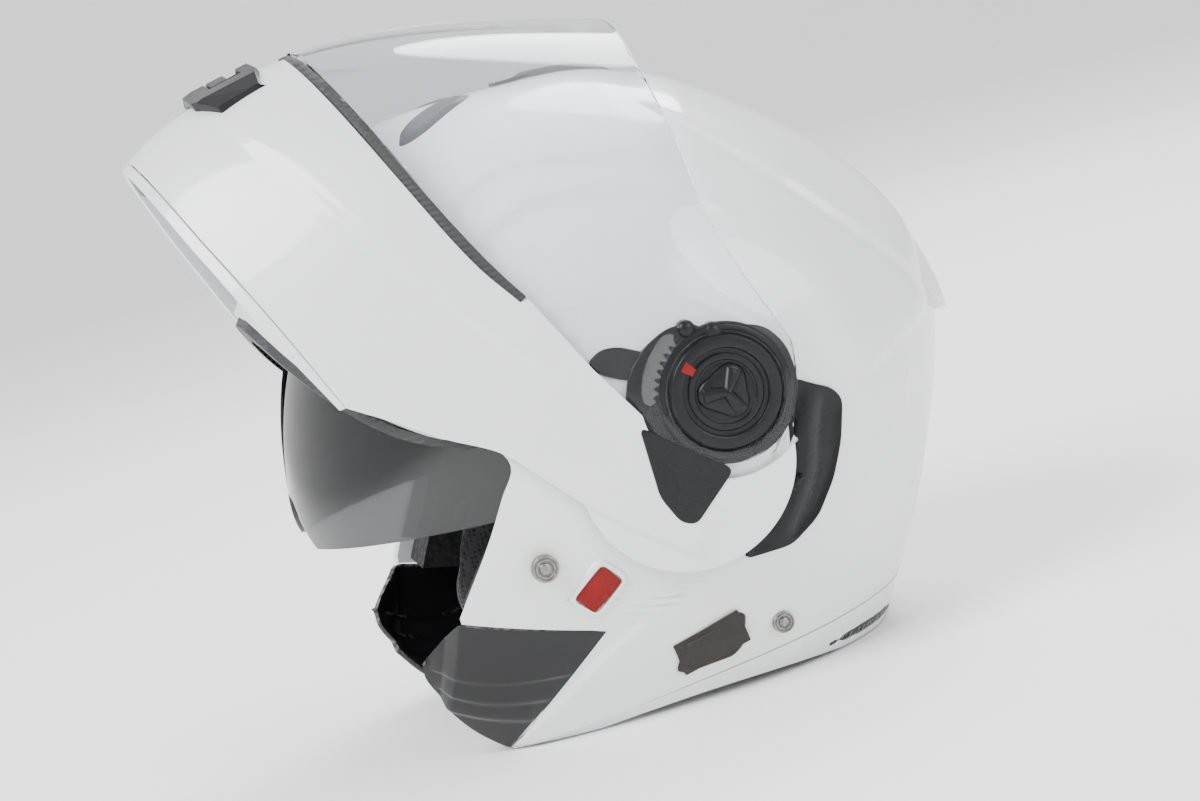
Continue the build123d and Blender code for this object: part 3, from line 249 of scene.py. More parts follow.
def grid_mesh(name, rows, mirror=True, closed=False):
    """Object from rows of points in millimetres, with its mirror image joined on."""
    mesh = bmesh.new()
    for side in ((1, -1) if mirror else (1,)):
        laid = [[mesh.verts.new((side * p[0] * MM, p[1] * MM, p[2] * MM)) for p in row] for row in rows]
        for low, high in zip(laid, laid[1:]):
            wide = len(low) if closed else len(low) - 1
            for step in range(wide):
                after = (step + 1) % len(low)
                corners = [low[step], low[after], high[after], high[step]]
                mesh.faces.new(corners if side > 0 else corners[::-1])
    bmesh.ops.remove_doubles(mesh, verts=mesh.verts, dist=0.02 * MM)
    bmesh.ops.dissolve_degenerate(mesh, edges=mesh.edges, dist=0.01 * MM)
    data = bpy.data.meshes.new(name)
    mesh.to_mesh(data)
    mesh.free()
    return new_object(name, data)


@contextmanager
def edited(thing):
    """The piece's mesh, open for changes that are then saved."""
    mesh = bmesh.new()
    mesh.from_mesh(thing.data)
    yield mesh
    mesh.to_mesh(thing.data)
    mesh.free()


def look_outward(thing, centre=SHELL_CENTRE):
    """Turns every face so that it looks away from a point."""
    middle = Vector(centre) * MM
    with edited(thing) as mesh:
        bmesh.ops.recalc_face_normals(mesh, faces=mesh.faces)
        score = sum(face.normal.dot(face.calc_center_median() - middle) * face.calc_area()
                    for face in mesh.faces)
        if score < 0:
            bmesh.ops.reverse_faces(mesh, faces=mesh.faces)


def weld(thing, reach):
    """Joins the points that lie nearer than a reach."""
    thing.modifiers.new("weld", "WELD").merge_threshold = reach * MM


def round_rim(thing, edge, steps, angle):
    """Rounds the edges that are sharper than an angle."""
    rim = thing.modifiers.new("rim", "BEVEL")
    rim.width = edge * MM
    rim.segments = steps
    rim.limit_method = "ANGLE"
    rim.angle_limit = radians(angle)


def settle(thing, sharp=38.0):
    """Applies the modifiers and shades the result smooth up to an angle."""
    graph = bpy.context.evaluated_depsgraph_get()
    data = bpy.data.meshes.new_from_object(thing.evaluated_get(graph), preserve_all_data_layers=False,
                                           depsgraph=graph)
    old = thing.data
    thing.modifiers.clear()
    thing.data = data
    data.name = thing.name
    if old.users == 0:
        bpy.data.meshes.remove(old)
    for face in data.polygons:
        face.use_smooth = True
    data.set_sharp_from_angle(angle=radians(sharp))
    return thing


def thicken(thing, depth, round_edge, steps=3, centre=SHELL_CENTRE):
    """Gives a sheet its thickness inward and rounds its rim."""
    look_outward(thing, centre)
    wall = thing.modifiers.new("wall", "SOLIDIFY")
    wall.thickness = depth * MM
    wall.offset = -1.0
    wall.use_even_offset = False
    if round_edge:
        round_rim(thing, round_edge, steps, 50.0)
    return settle(thing)


def step_along(points, line, height, width, fade, ends=18.0):
    """Lift of a ridge: sharp on the right of a side view line, fading away on its left."""
    line = np.array(line, float)
    flat = points[:, 1:3]
    best = np.full(len(flat), 1e9)
    signed, where = np.zeros(len(flat)), np.zeros(len(flat))
    along = 0.0
    for start, end in zip(line, line[1:]):
        run = end - start
        length = np.linalg.norm(run)
        share = np.clip(((flat - start) @ run) / length ** 2, 0.0, 1.0)
        off = flat - (start + share[:, None] * run)
        far = np.linalg.norm(off, axis=1)
        side = np.sign(run[0] * off[:, 1] - run[1] * off[:, 0])
        closer = far < best
        best = np.where(closer, far, best)
        signed = np.where(closer, far * side, signed)
        where = np.where(closer, along + share * length, where)
        along += length
    rise = np.clip(signed / width + 0.5, 0.0, 1.0)
    rise = rise * rise * (3 - 2 * rise)
    hold = np.clip(where / ends, 0.0, 1.0) * np.clip((along - where) / ends, 0.0, 1.0)
    past = np.clip(1.0 - best / (2.0 * fade), 0.0, 1.0)
    return height * rise * hold * np.where(signed > 0, past * past * (3 - 2 * past), 1.0)


def dress(thing, body, slot, material, *nodes, soft=None):
    """Gives a piece its material, its body and the solid nodes that it stands for."""
    thing.data.materials.clear()
    thing.data.materials.append(material)
    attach(thing, body)
    if nodes:
        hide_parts(*nodes)
    return thing


def side_line(form, points):
    """Line of a form by side view places, as pairs of turn and height."""
    return [(form.angle(y, z), z) for y, z in points]


def front_line(form, points):
    """Line of a form by places of the front view, as pairs of turn and height."""
    result = []
    for x, z in points:
        _, _, _, half, rounding = form._at(form.along_of(z))[0]
        result.append((-float(np.arccos(min((abs(x) / half), 1.0) ** (rounding / 2))), z))
    return result


def skin(form, low, high, cols, rows, inset, shape=None):
    """Rows of points over a form between two of its lines."""
    lines = []
    for line in (low, high):
        turns = np.array([turn for turn, _ in line])
        ways = np.array([form.along_of(z) for _, z in line])
        solid = form.lay(turns, ways, inset)
        steps = np.concatenate([[0.0], np.cumsum(np.linalg.norm(np.diff(solid, axis=0), axis=1))])
        places = np.linspace(0.0, steps[-1], cols + 1)
        lines.append((np.interp(places, steps, turns), np.interp(places, steps, ways)))
    share = np.linspace(0.0, 1.0, rows + 1)[:, None]
    turn = (lines[0][0] * (1 - share) + lines[1][0] * share).ravel()
    way = (lines[0][1] * (1 - share) + lines[1][1] * share).ravel()
    points = form.lay(turn, way, inset)
    if shape:
        share = np.repeat(np.linspace(0.0, 1.0, rows + 1), cols + 1)
        run = np.tile(np.linspace(0.0, 1.0, cols + 1), rows + 1)
        points = form.lay_lifted(turn, way, inset, shape(points, share, run))
    return points.reshape(rows + 1, cols + 1, 3)


def trim_height(y):
    """Height of the panel line above the base trim."""
    return np.where(y < -92.0, 1.2, 1.2 + (y + 92.0) * 22.8 / 238.0)


def shell_lift(points):
    """Raised and recessed panels of the shell's own surface."""
    lift = step_along(points, smooth([(30, 243), (67.5, 206.5), (100, 170), (128, 136)]), 2.6, 3.0, 40.0)
    lift += step_along(points, [(74, 109.5), (100, 117.5), (134, 129)], 2.6, 3.0, 34.0, ends=12.0)
    lift += step_along(points, smooth([(71, 35), (84, 62), (101, 86), (113, 115)]), 1.1, 3.5, 30.0)
    lift += step_along(points, smooth([(-92, 196), (-55, 222), (-25, 229), (8, 223), (45, 208)]), 1.5, 3.0,
                       30.0)
    lift += step_along(points, smooth([(-92, 178), (-45, 209), (-15, 214), (15, 208), (50, 190)]), 1.6, 3.0,
                       26.0)
    lift += step_along(points, [(-10, 56.5), (-52, 32), (-94, 1.0)], 2.0, 2.4, 26.0, ends=10.0)
    return lift


def set_in(points):
    """Depth that the shell is drawn in under the trim behind the disc and at the two sliders."""
    depth = np.zeros(len(points))
    for outline, deep, share in ((RECESS, 5.0, 0.94), (LOCK_WINDOW, 3.0, 0.96), (SLIDE_WINDOW, 2.4, 0.90)):
        edge = np.array(outline)
        middle = edge.mean(axis=0)
        edge = middle + (edge - middle) * share
        inside, near = np.zeros(len(points), bool), np.full(len(points), 1e9)
        for start, end in zip(edge, np.roll(edge, -1, axis=0)):
            run, (y0, z0) = end - start, start
            over = (z0 > points[:, 2]) != (end[1] > points[:, 2])
            rise = run[1] if abs(run[1]) > 1e-9 else 1e-9
            inside ^= over & (points[:, 1] < run[0] * (points[:, 2] - z0) / rise + y0)
            along = np.clip(((points[:, 1:3] - start) @ run) / (run @ run), 0.0, 1.0)
            near = np.minimum(near, np.linalg.norm(points[:, 1:3] - start - along[:, None] * run, axis=1))
        depth = np.where(inside, deep * np.clip(near / 3.0, 0.0, 1.0), depth)
    return depth


def hollowed(points):
    """Points drawn in to the hollow that the arms swing over."""
    far = np.hypot(points[:, 1], points[:, 2] - HINGE_HEIGHT)
    wide = np.interp(far, HOLLOW_FAR, HOLLOW_WIDE, right=500.0)
    wide = np.where(far > 112.0, wide + (far - 112.0) * 0.9, wide)
    over = points[:, 0] - wide
    soft = 2.5
    cut = np.where(over > soft, over, np.where(over < -soft, 0.0, (over + soft) ** 2 / (4 * soft)))
    points = points.copy()
    points[:, 0] -= cut
    return points


def shell_rows(cols, ways):
    """Rows of the shell's left half, from the eye port's edge or the front middle round to the rear."""
    edge = np.array(SHELL_LOW_EDGE + [(z, y) for y, z in smooth(EYE_PORT, 16)[::-1]])
    edge = edge[np.argsort(edge[:, 0], kind="stable")]
    rows = []
    for place in ways:
        height = float(np.interp(place, SHELL.fine, SHELL.fine_height))
        start = -pi / 2
        if height < EYE_PORT[0][1]:
            start = SHELL.angle(float(np.interp(height, edge[:, 0], edge[:, 1])), max(height, SHELL_TIP[1]))
        turn = start + (pi / 2 - start) * np.linspace(0.0, 1.0, cols + 1)
        way = np.full(cols + 1, place)
        if height < SKIRT_HEIGHT:
            for _ in range(4):
                points = SHELL.lay(turn, way)
                low = trim_height(points[:, 1]) + 0.4
                z = low + (SKIRT_HEIGHT - low) * (height - SHELL_TIP[1]) / (SKIRT_HEIGHT - SHELL_TIP[1])
                way = np.array([SHELL.along_of(value) for value in z])
        points = SHELL.lay(turn, way)
        points = hollowed(SHELL.lay_lifted(turn, way, 0.0, shell_lift(points)))
        points[:, 0] -= np.where(points[:, 0] > 60.0, set_in(points), 0.0)
        if abs(start + pi / 2) < 1e-6:
            points[0, 0] = 0.0
        points[-1, 0] = 0.0
        rows.append(points)
    return rows


# Shader groups that several finishes share

def put(tree, kind, inputs=None, **settings):
    """Adds a node, sets what is given and links the inputs that are sockets."""
    node = tree.nodes.new(kind)
    for name, value in settings.items():
        setattr(node, name, value)
    for name, value in (inputs or {}).items():
        if isinstance(value, bpy.types.NodeSocket):
            tree.links.new(value, node.inputs[name])
        else:
            node.inputs[name].default_value = value
    return node


def shader_group(name, inputs, outputs):
    """Empty node group: its tree, the object's coordinates, the sockets given and the sockets to fill."""
    tree = bpy.data.node_groups.new(name, "ShaderNodeTree")
    for label, value in inputs.items():
        tree.interface.new_socket(label, in_out="INPUT",
                                  socket_type="NodeSocketFloat").default_value = value
    for label in outputs:
        tree.interface.new_socket(label, in_out="OUTPUT", socket_type="NodeSocketFloat")
    place = tree.nodes.new("ShaderNodeTexCoord").outputs["Object"]
    return tree, place, tree.nodes.new("NodeGroupInput").outputs, tree.nodes.new("NodeGroupOutput").inputs


def math_node(tree, operation, first, second=0.0):
    """Result of one sum on two sockets or numbers."""
    return put(tree, "ShaderNodeMath", {0: first, 1: second}, operation=operation).outputs[0]


def noise_node(tree, place, scale, detail):
    """Value of a noise at a place."""
    return put(tree, "ShaderNodeTexNoise", {"Vector": place, "Scale": scale,
                                            "Detail": detail}).outputs["Fac"]


def span_node(tree, value, start, end, **limits):
    """Value moved from one span to another, from nothing to one where no other is given."""
    ends = {name.replace("_", " "): limit for name, limit in limits.items()}
    return put(tree, "ShaderNodeMapRange", {"Value": value, "From Min": start, "From Max": end,
                                            **ends}).outputs[0]


def grain_group():
    """Fine moulded grain and a soft cloudy mask."""
    tree, place, given, result = shader_group("Moulded grain", {"Grain scale": 900.0, "Cloud scale": 14.0},
                                              ["Height", "Cloud"])
    tree.links.new(noise_node(tree, place, given[0], 3.0), result[0])
    tree.links.new(noise_node(tree, place, given[1], 4.0), result[1])
    return tree


def wear_group():
    """Mask of the raised edges, broken up by a fine noise."""
    tree, place, given, result = shader_group("Edge wear", {"Start": 0.53, "End": 0.60, "Breakup": 160.0},
                                              ["Mask"])
    raised_edge = tree.nodes.new("ShaderNodeNewGeometry").outputs["Pointiness"]
    edge = span_node(tree, raised_edge, given[0], given[1])
    broken = span_node(tree, noise_node(tree, place, given[2], 5.0), 0.42, 0.62)
    tree.links.new(math_node(tree, "MULTIPLY", edge, broken), result[0])
    return tree


def knit_group():
    """Open knitted mesh: round holes, with a height that dips in them."""
    tree, place, given, result = shader_group("Knitted mesh", {"Holes per metre": 420.0},
                                              ["Height", "Hole"])
    cells = put(tree, "ShaderNodeTexVoronoi", {"Vector": place, "Scale": given[0], "Randomness": 0.22})
    hole = span_node(tree, cells.outputs["Distance"], 0.46, 0.28)
    thread = math_node(tree, "MULTIPLY", noise_node(tree, place, 2600.0, 2.0), 0.25)
    tree.links.new(math_node(tree, "SUBTRACT", thread, hole), result[0])
    tree.links.new(hole, result[1])
    return tree


def ribs_group():
    """Even level ribs."""
    tree, place, given, result = shader_group("Ribs", {"Ribs per metre": 300.0}, ["Height"])
    level = put(tree, "ShaderNodeSeparateXYZ", {0: place}).outputs[2]
    turns = math_node(tree, "MULTIPLY", level, math_node(tree, "MULTIPLY", given[0], 2 * pi))
    tree.links.new(math_node(tree, "SINE", turns), result[0])
    return tree


def weave_group():
    """Plain weave of two crossing threads."""
    tree, place, given, result = shader_group("Webbing weave", {"Threads per metre": 700.0}, ["Height"])
    threads = {"Vector": place, "Scale": given[0], "Distortion": 0.4, "Detail Scale": 2.0}
    heights = [put(tree, "ShaderNodeTexWave", threads, bands_direction=direction).outputs["Fac"]
               for direction in ("X", "Y")]
    tree.links.new(math_node(tree, "MAXIMUM", *heights), result[0])
    return tree


# Finishes

class Surface:
    """A material while its nodes are laid."""

    def __init__(self, groups, name, rough, metallic=0.0):
        self.groups = groups
        self.material = bpy.data.materials.new(name)
        self.material.use_nodes = True
        self.tree = self.material.node_tree
        self.shader = self.tree.nodes["Principled BSDF"]
        self.level(Roughness=rough, Metallic=metallic)

    def level(self, **values):
        """Sets the shader's inputs, their names with underscores for spaces."""
        for label, value in values.items():
            self.shader.inputs[label.replace("_", " ")].default_value = value
        return self.material

    def effect(self, name, *values):
        """Outputs of one of the shared groups, placed with its own values."""
        node = put(self.tree, "ShaderNodeGroup", node_tree=self.groups[name])
        for place, value in enumerate(values):
            node.inputs[place].default_value = value
        return node.outputs

    def tint(self, mask, low, high):
        """Base colour between two colours by a mask."""
        ends = [end if isinstance(end, bpy.types.NodeSocket) else (*end, 1.0) for end in (low, high)]
        mix = put(self.tree, "ShaderNodeMix", {0: mask, 6: ends[0], 7: ends[1]}, data_type="RGBA")
        self.tree.links.new(mix.outputs[2], self.shader.inputs["Base Color"])
        return mix.outputs[2]

    def vary(self, mask, low, high):
        """Roughness between two values by a mask."""
        span = span_node(self.tree, mask, 0.3, 0.7, To_Min=low, To_Max=high)
        self.tree.links.new(span, self.shader.inputs["Roughness"])

    def emboss(self, height, strength, distance):
        """Bump of the surface from a height."""
        bump = put(self.tree, "ShaderNodeBump",
                   {"Height": height, "Strength": strength, "Distance": distance})
        self.tree.links.new(bump.outputs[0], self.shader.inputs["Normal"])

    def rub(self, base, share, colour, *wear):
        """Base colour with its raised edges rubbed towards another colour."""
        worn = math_node(self.tree, "MULTIPLY", self.effect("wear", *wear)[0], share)
        self.tint(worn, base, colour)

    def let_light_through(self, shade):
        """Lets shadow rays pass tinted, so that a clear sheet casts no dark shadow."""
        passing = put(self.tree, "ShaderNodeBsdfTransparent", {"Color": (*shade, 1.0)})
        path = self.tree.nodes.new("ShaderNodeLightPath")
        mix = put(self.tree, "ShaderNodeMixShader",
                  {0: path.outputs["Is Shadow Ray"], 1: self.shader.outputs[0], 2: passing.outputs[0]})
        self.tree.links.new(mix.outputs[0], self.tree.nodes["Material Output"].inputs["Surface"])


def scaled(colour, share, rise=0.0):
    """A colour times a share, with a rise, up to one."""
    return tuple(min(part * share + rise, 1.0) for part in colour)


class Finishes:
    """Materials and shader groups, each made once."""

    def __init__(self):
        self.groups = {"grain": grain_group(), "wear": wear_group(), "knit": knit_group(),
                       "ribs": ribs_group(), "weave": weave_group()}
        look = bpy.context.scene.helmet_look
        self.white = self.lacquer("white_lacquer", look.white_paint, look.paint_peel)
        self.gloss_black = self.lacquer("black_lacquer", look.black_paint, look.paint_peel, 0.25, 0.35)
        self.satin_black = self.plastic("satin_black_plastic", (0.009, 0.009, 0.010), 0.32, 0.05)
        self.vent_grey = self.plastic("vent_grey_plastic", (0.085, 0.088, 0.094), 0.42, 0.05)
        self.mechanism = self.plastic("mechanism_black_plastic", (0.006, 0.0065, 0.0075), 0.24, 0.03)
        self.slider_brown = self.plastic("dark_slider_plastic", (0.020, 0.017, 0.015), 0.44, 0.12)
        self.rubber = self.ribbed("seal_rubber", (0.016, 0.016, 0.017))
        self.mesh_fabric = self.fabric("mesh_fabric", look.fabric)
        self.slate_lining = self.plastic("slate_lining", (0.23, 0.26, 0.31), 0.42, 0.05)
        self.foam = self.beads("bead_foam")
        self.webbing = self.woven("strap_webbing")
        self.steel = self.brushed("satin_steel")
        self.red = self.red_plastic("red_slider_plastic")
        self.clear = self.clear_sheet("clear_polycarbonate", look.visor_tint, 0.02, 1.36)
        self.smoke = self.smoked("smoke_polycarbonate", look.sun_tint)
        self.detent = self.clear_sheet("clear_detent_plastic", (0.93, 0.95, 0.96), 0.16, 1.55)

    def grained(self, name, rough, scales, low, high, roughs, strength, depth):
        """Material with the shared grain, its roughness and its base colour clouded between two values."""
        surface = Surface(self.groups, name, rough)
        height, cloud = surface.effect("grain", *scales)
        base = surface.tint(cloud, low, high)
        surface.vary(cloud, *roughs)
        surface.emboss(height, strength, depth)
        return surface, base

    def lacquer(self, name, colour, peel, shine=0.5, coat_weight=0.75):
        """Sprayed paint under clear coat, with its faint orange peel."""
        surface, base = self.grained(name, 0.3, (260.0, 9.0), scaled(colour, 0.975), colour, (0.24, 0.34),
                                     peel, 0.00012)
        surface.rub(base, 0.25, (0.72, 0.72, 0.73), 0.56, 0.72, 300.0)
        return surface.level(Specular_IOR_Level=shine, Coat_Weight=coat_weight, Coat_Roughness=0.06)

    def plastic(self, name, colour, rough, bump):
        """Moulded plastic with fine grain and lightly rubbed edges."""
        surface, base = self.grained(name, rough, (1500.0, 30.0), colour, scaled(colour, 1.35, 0.004),
                                     (rough - 0.05, rough + 0.07), bump * 6, 0.00015)
        surface.rub(base, 0.15, scaled(colour, 1.8, 0.012), 0.54, 0.66, 260.0)
        return surface.level(Specular_IOR_Level=0.2)

    def red_plastic(self, name):
        """Red moulded plastic, smoothly polished."""
        surface, _ = self.grained(name, 0.2, (500.0, 90.0), (0.13, 0.003, 0.003), (0.22, 0.008, 0.006),
                                  (0.14, 0.24), 0.15, 0.0001)
        return surface.level(Specular_IOR_Level=0.2)

    def clear_sheet(self, name, colour, rough, bend):
        """Clear polycarbonate with faint moulding waves."""
        surface = Surface(self.groups, name, rough)
        cloud = surface.effect("grain", 40.0, 18.0)[1]
        surface.tint(cloud, colour, scaled(colour, 1.03))
        surface.vary(cloud, rough, rough + 0.02)
        surface.emboss(cloud, 0.02, 0.0004)
        surface.let_light_through((0.94, 0.95, 0.96))
        return surface.level(Transmission_Weight=1.0, IOR=bend)

    def smoked(self, name, colour):
        """Dark smoke polycarbonate."""
        surface, _ = self.grained(name, 0.05, (40.0, 16.0), colour, scaled(colour, 1.25), (0.04, 0.08),
                                  0.01, 0.0002)
        surface.let_light_through((0.25, 0.26, 0.27))
        return surface.level(Transmission_Weight=0.9, IOR=1.4, Coat_Weight=0.4)

    def ribbed(self, name, colour):
        """Black rubber seal with fine ribs along it."""
        surface = Surface(self.groups, name, 0.55)
        height, cloud = surface.effect("grain", 1200.0, 40.0)
        surface.tint(cloud, colour, scaled(colour, 1.8))
        ribs = surface.effect("ribs", 420.0)[0]
        fine = math_node(surface.tree, "MULTIPLY", height, 0.3)
        surface.vary(cloud, 0.48, 0.62)
        surface.emboss(math_node(surface.tree, "ADD", ribs, fine), 0.5, 0.0003)
        return surface.material

    def fabric(self, name, colour):
        """Black mesh fabric over foam, with a soft sheen."""
        surface = Surface(self.groups, name, 0.85)
        height, hole = surface.effect("knit", 430.0)
        cloud = surface.effect("grain", 1800.0, 28.0)[1]
        mask = math_node(surface.tree, "ADD", math_node(surface.tree, "MULTIPLY", hole, 0.75),
                         math_node(surface.tree, "MULTIPLY", cloud, 0.25))
        surface.tint(mask, colour, scaled(colour, 0.22))
        surface.vary(cloud, 0.78, 0.92)
        surface.emboss(height, 0.8, 0.0006)
        return surface.level(Sheen_Weight=0.35, Sheen_Roughness=0.4)

    def beads(self, name):
        """Moulded bead foam: fused round cells."""
        surface = Surface(self.groups, name, 0.8)
        place = surface.tree.nodes.new("ShaderNodeTexCoord").outputs["Object"]
        cells = put(surface.tree, "ShaderNodeTexVoronoi",
                    {"Vector": place, "Scale": 330.0}).outputs["Distance"]
        surface.tint(cells, (0.030, 0.030, 0.032), (0.010, 0.010, 0.011))
        surface.vary(cells, 0.7, 0.9)
        surface.emboss(cells, 0.5, -0.0006)
        return surface.material

    def woven(self, name):
        """Nylon webbing."""
        surface = Surface(self.groups, name, 0.6)
        weave = surface.effect("weave", 900.0)[0]
        surface.tint(weave, (0.006, 0.006, 0.006), (0.030, 0.030, 0.032))
        surface.vary(weave, 0.7, 0.5)
        surface.emboss(weave, 0.7, 0.0004)
        return surface.level(Sheen_Weight=0.2)

    def brushed(self, name):
        """Satin nickel, turned and lightly scuffed."""
        surface = Surface(self.groups, name, 0.3, 1.0)
        height, cloud = surface.effect("grain", 2200.0, 120.0)
        surface.tint(surface.effect("wear", 0.50, 0.62, 500.0)[0], (0.20, 0.195, 0.185), (0.62, 0.61, 0.59))
        surface.vary(cloud, 0.22, 0.40)
        surface.emboss(height, 0.25, 0.0001)
        return surface.material


# Places on the surfaces

def on_shell(flat, lift=0.0):
    """Points of the shell's left side at places of the side view, with its panels and hollow."""
    turns, ways = SHELL.find(flat)
    points = hollowed(SHELL.lay_lifted(turns, ways, 0.0, shell_lift(SHELL.lay(turns, ways))))
    points[:, 0] += lift
    return points


def on_front(flat, lift=0.0):
    """Points of the shut chin bar's left side at places of the side view, with its crease."""
    turns, ways = FRONT.find(flat)
    points = FRONT.lay_lifted(turns, ways, 0.0, chin_crease(FRONT.lay(turns, ways)))
    points[:, 0] += lift
    return points


def on_disc(flat, lift=0.0):
    """Points of the shut chin bar's left side without its crease."""
    points = FRONT.lay(*FRONT.find(flat))
    points[:, 0] += lift
    return points


def on_crown(flat, lift=0.0):
    """Points on top of the shell at places of the view from above."""
    turns, ways = [], []
    for x, y in flat:
        back = y - SHELL.middle
        low, high = 60.0, 262.09
        for _ in range(30):
            level = (low + high) / 2
            _, front, rear, half, rounding = SHELL._at(SHELL.along_of(level))[0]
            reach = front + SHELL.middle if back < 0 else rear - SHELL.middle
            inside = abs(x / half) ** rounding + abs(back / reach) ** rounding < 1.0
            low, high = (level, high) if inside else (low, level)
        turns.append(np.arctan2(np.sign(back) * abs(back / reach) ** (rounding / 2),
                                abs(x / half) ** (rounding / 2)))
        ways.append(SHELL.along_of(level))
    turns, ways = np.array(turns), np.array(ways)
    lifts = shell_lift(SHELL.lay(turns, ways)) + lift
    points = SHELL.lay_lifted(turns, ways, 0.0, lifts)
    points[:, 0] *= np.where(flat[:, 0] < 0, -1.0, 1.0)
    return points


def patch(place, outline, rings, shape):
    """Rows of points that fill an outline on a surface ring by ring, lifted by a shape of the place."""
    edge = spread(list(outline) + [outline[0]], 96)[:-1]
    middle = edge.mean(axis=0)
    rows = []
    for ring in range(rings + 1):
        share = 1.0 - ring / rings
        flat = middle + (edge - middle) * share
        rows.append(place(flat, shape(flat, 1.0 - share)))
    return rows


def rounded(points, radius, count=5):
    """Closed outline with its corners rounded off."""
    corners = [np.array(point, float) for point in points]
    result = []
    for before, corner, after in zip(corners[-1:] + corners[:-1], corners, corners[1:] + corners[:1]):
        back, ahead = before - corner, after - corner
        reach = min(radius, np.linalg.norm(back) * 0.45, np.linalg.norm(ahead) * 0.45)
        start = corner + back / np.linalg.norm(back) * reach
        end = corner + ahead / np.linalg.norm(ahead) * reach
        for step in range(count + 1):
            t = step / count
            result.append(tuple(start * (1 - t) ** 2 + corner * 2 * t * (1 - t) + end * t * t))
    return result


def raised(rows):
    """Rows of points of the shut chin bar or visor, moved to the open stop."""
    return [[lift_up(point) for point in row] for row in rows]


def turned(name, place, profile, count, change=None, waves=None):
    """Piece turned about a line across the helmet, from its profile of radius and half width."""
    rows = []
    for radius, wide in profile:
        row = []
        for step in range(count):
            turn = 2 * pi * step / count
            point = about(place, wide, radius * (waves(turn, radius) if waves else 1.0), turn)
            row.append(change(point) if change else point)
        rows.append(row)
    thing = grid_mesh(name, rows, closed=True)
    look_outward(thing)
    return thing


def bore(thing, middle, radius):
    """Cuts a round hole through a raised sheet, about a line across the helmet."""
    centre = lift_up((0.0, *middle))

    def far(place):
        return np.hypot(place.y / MM - centre.y, place.z / MM - centre.z)

    with edited(thing) as mesh:
        gone = [face for face in mesh.faces if far(face.calc_center_median()) < radius]
        bmesh.ops.delete(mesh, geom=gone, context="FACES")
        for vertex in mesh.verts:
            away = far(vertex.co)
            if vertex.is_boundary and away < radius + 4.0:
                vertex.co.y = (centre.y + (vertex.co.y / MM - centre.y) * radius / away) * MM
                vertex.co.z = (centre.z + (vertex.co.z / MM - centre.z) * radius / away) * MM


def finish_solid(thing, edge, steps, angle=40.0, sharp=38.0):
    """Rounds the edges of a closed piece and applies it."""
    round_rim(thing, edge, steps, angle)
    return settle(thing, sharp)


def swell(thing, voxel, cap):
    """Swells a closed form like stuffed cloth and leaves the result in its mesh."""
    even = thing.modifiers.new("even", "REMESH")
    even.mode = "VOXEL"
    even.voxel_size = voxel * MM
    settle(thing)
    scene = bpy.context.scene
    start = np.array([vertex.co for vertex in thing.data.vertices])
    cloth = thing.modifiers.new("swell", "CLOTH")
    cloth.settings.quality = 5
    cloth.settings.mass = 0.3
    cloth.settings.tension_stiffness = 12.0
    cloth.settings.compression_stiffness = 12.0
    cloth.settings.bending_stiffness = 0.4
    cloth.settings.use_pressure = True
    cloth.settings.uniform_pressure_force = 4.0
    cloth.settings.effector_weights.gravity = 0.0
    cloth.point_cache.frame_start = 1
    cloth.point_cache.frame_end = 20
    for step in range(1, 21):
        scene.frame_set(step)
    graph = bpy.context.evaluated_depsgraph_get()
    swollen = thing.evaluated_get(graph).to_mesh()
    end = np.array([vertex.co for vertex in swollen.vertices])
    thing.evaluated_get(graph).to_mesh_clear()
    thing.modifiers.remove(cloth)
    moved = end - start
    far = np.maximum(np.linalg.norm(moved, axis=1), 1e-9)
    moved *= np.minimum(1.0, cap * MM / far)[:, None]
    for vertex, place in zip(thing.data.vertices, start + moved):
        vertex.co = place
    scene.frame_set(1)
    fine = thing.modifiers.new("fine", "SUBSURF")
    fine.levels = 1
    return settle(thing, 60.0)


# Painted pieces

def make_shell(paint):
    """Outer shell with its creases and hollow, its rim rounded round the eye port."""
    ways = np.linspace(SHELL.along_of(SHELL_TIP[1]), SHELL.along[-1], 150)
    rows = shell_rows(180, ways)
    rows.append(np.array([rows[-1].mean(axis=0) * (0.0, 1.0, 1.0)] * len(rows[-1])))
    thing = grid_mesh("shell_skin", rows)
    thicken(thing, 3.4, 1.0)
    return dress(thing, "shell", "gloss_white", paint, "outer_shell")


def make_base_trim(paint):
    """Painted rim under the shell's panel line."""
    turns = np.linspace(SHELL.angle(SHELL_TIP[0], SHELL_TIP[1]), pi / 2, 120)
    low, high = [], []
    for turn in turns:
        y = SHELL.lay(np.array([turn]), np.array([SHELL.along_of(8.0)]))[0][1]
        low.append((turn, max(0.3, 3.0 - y * y / 1203.0)))
        high.append((turn, float(trim_height(y)) - 0.35))
    thing = grid_mesh("base_trim_skin", skin(SHELL, low, high, 160, 10, 0.0))
    thicken(thing, 3.4, 0.9)
    return dress(thing, "shell", "gloss_white", paint, "base_trim")


def chin_crease(points, share=None, run=None):
    """Lifts of the chin bar: its crease over the disc and its soft upper band."""
    line = [(-48, 46.1), (-26.9, 53.9), (-13, 58.5), (12, 71), (36.5, 84.2)]
    lift = step_along(points, line, 1.5, 2.2, 17.0, ends=7.0)
    return lift + step_along(points, smooth([(-222, 40), (-180, 52), (-120, 62), (-60, 78)]), 1.4, 5.0,
                             26.0)


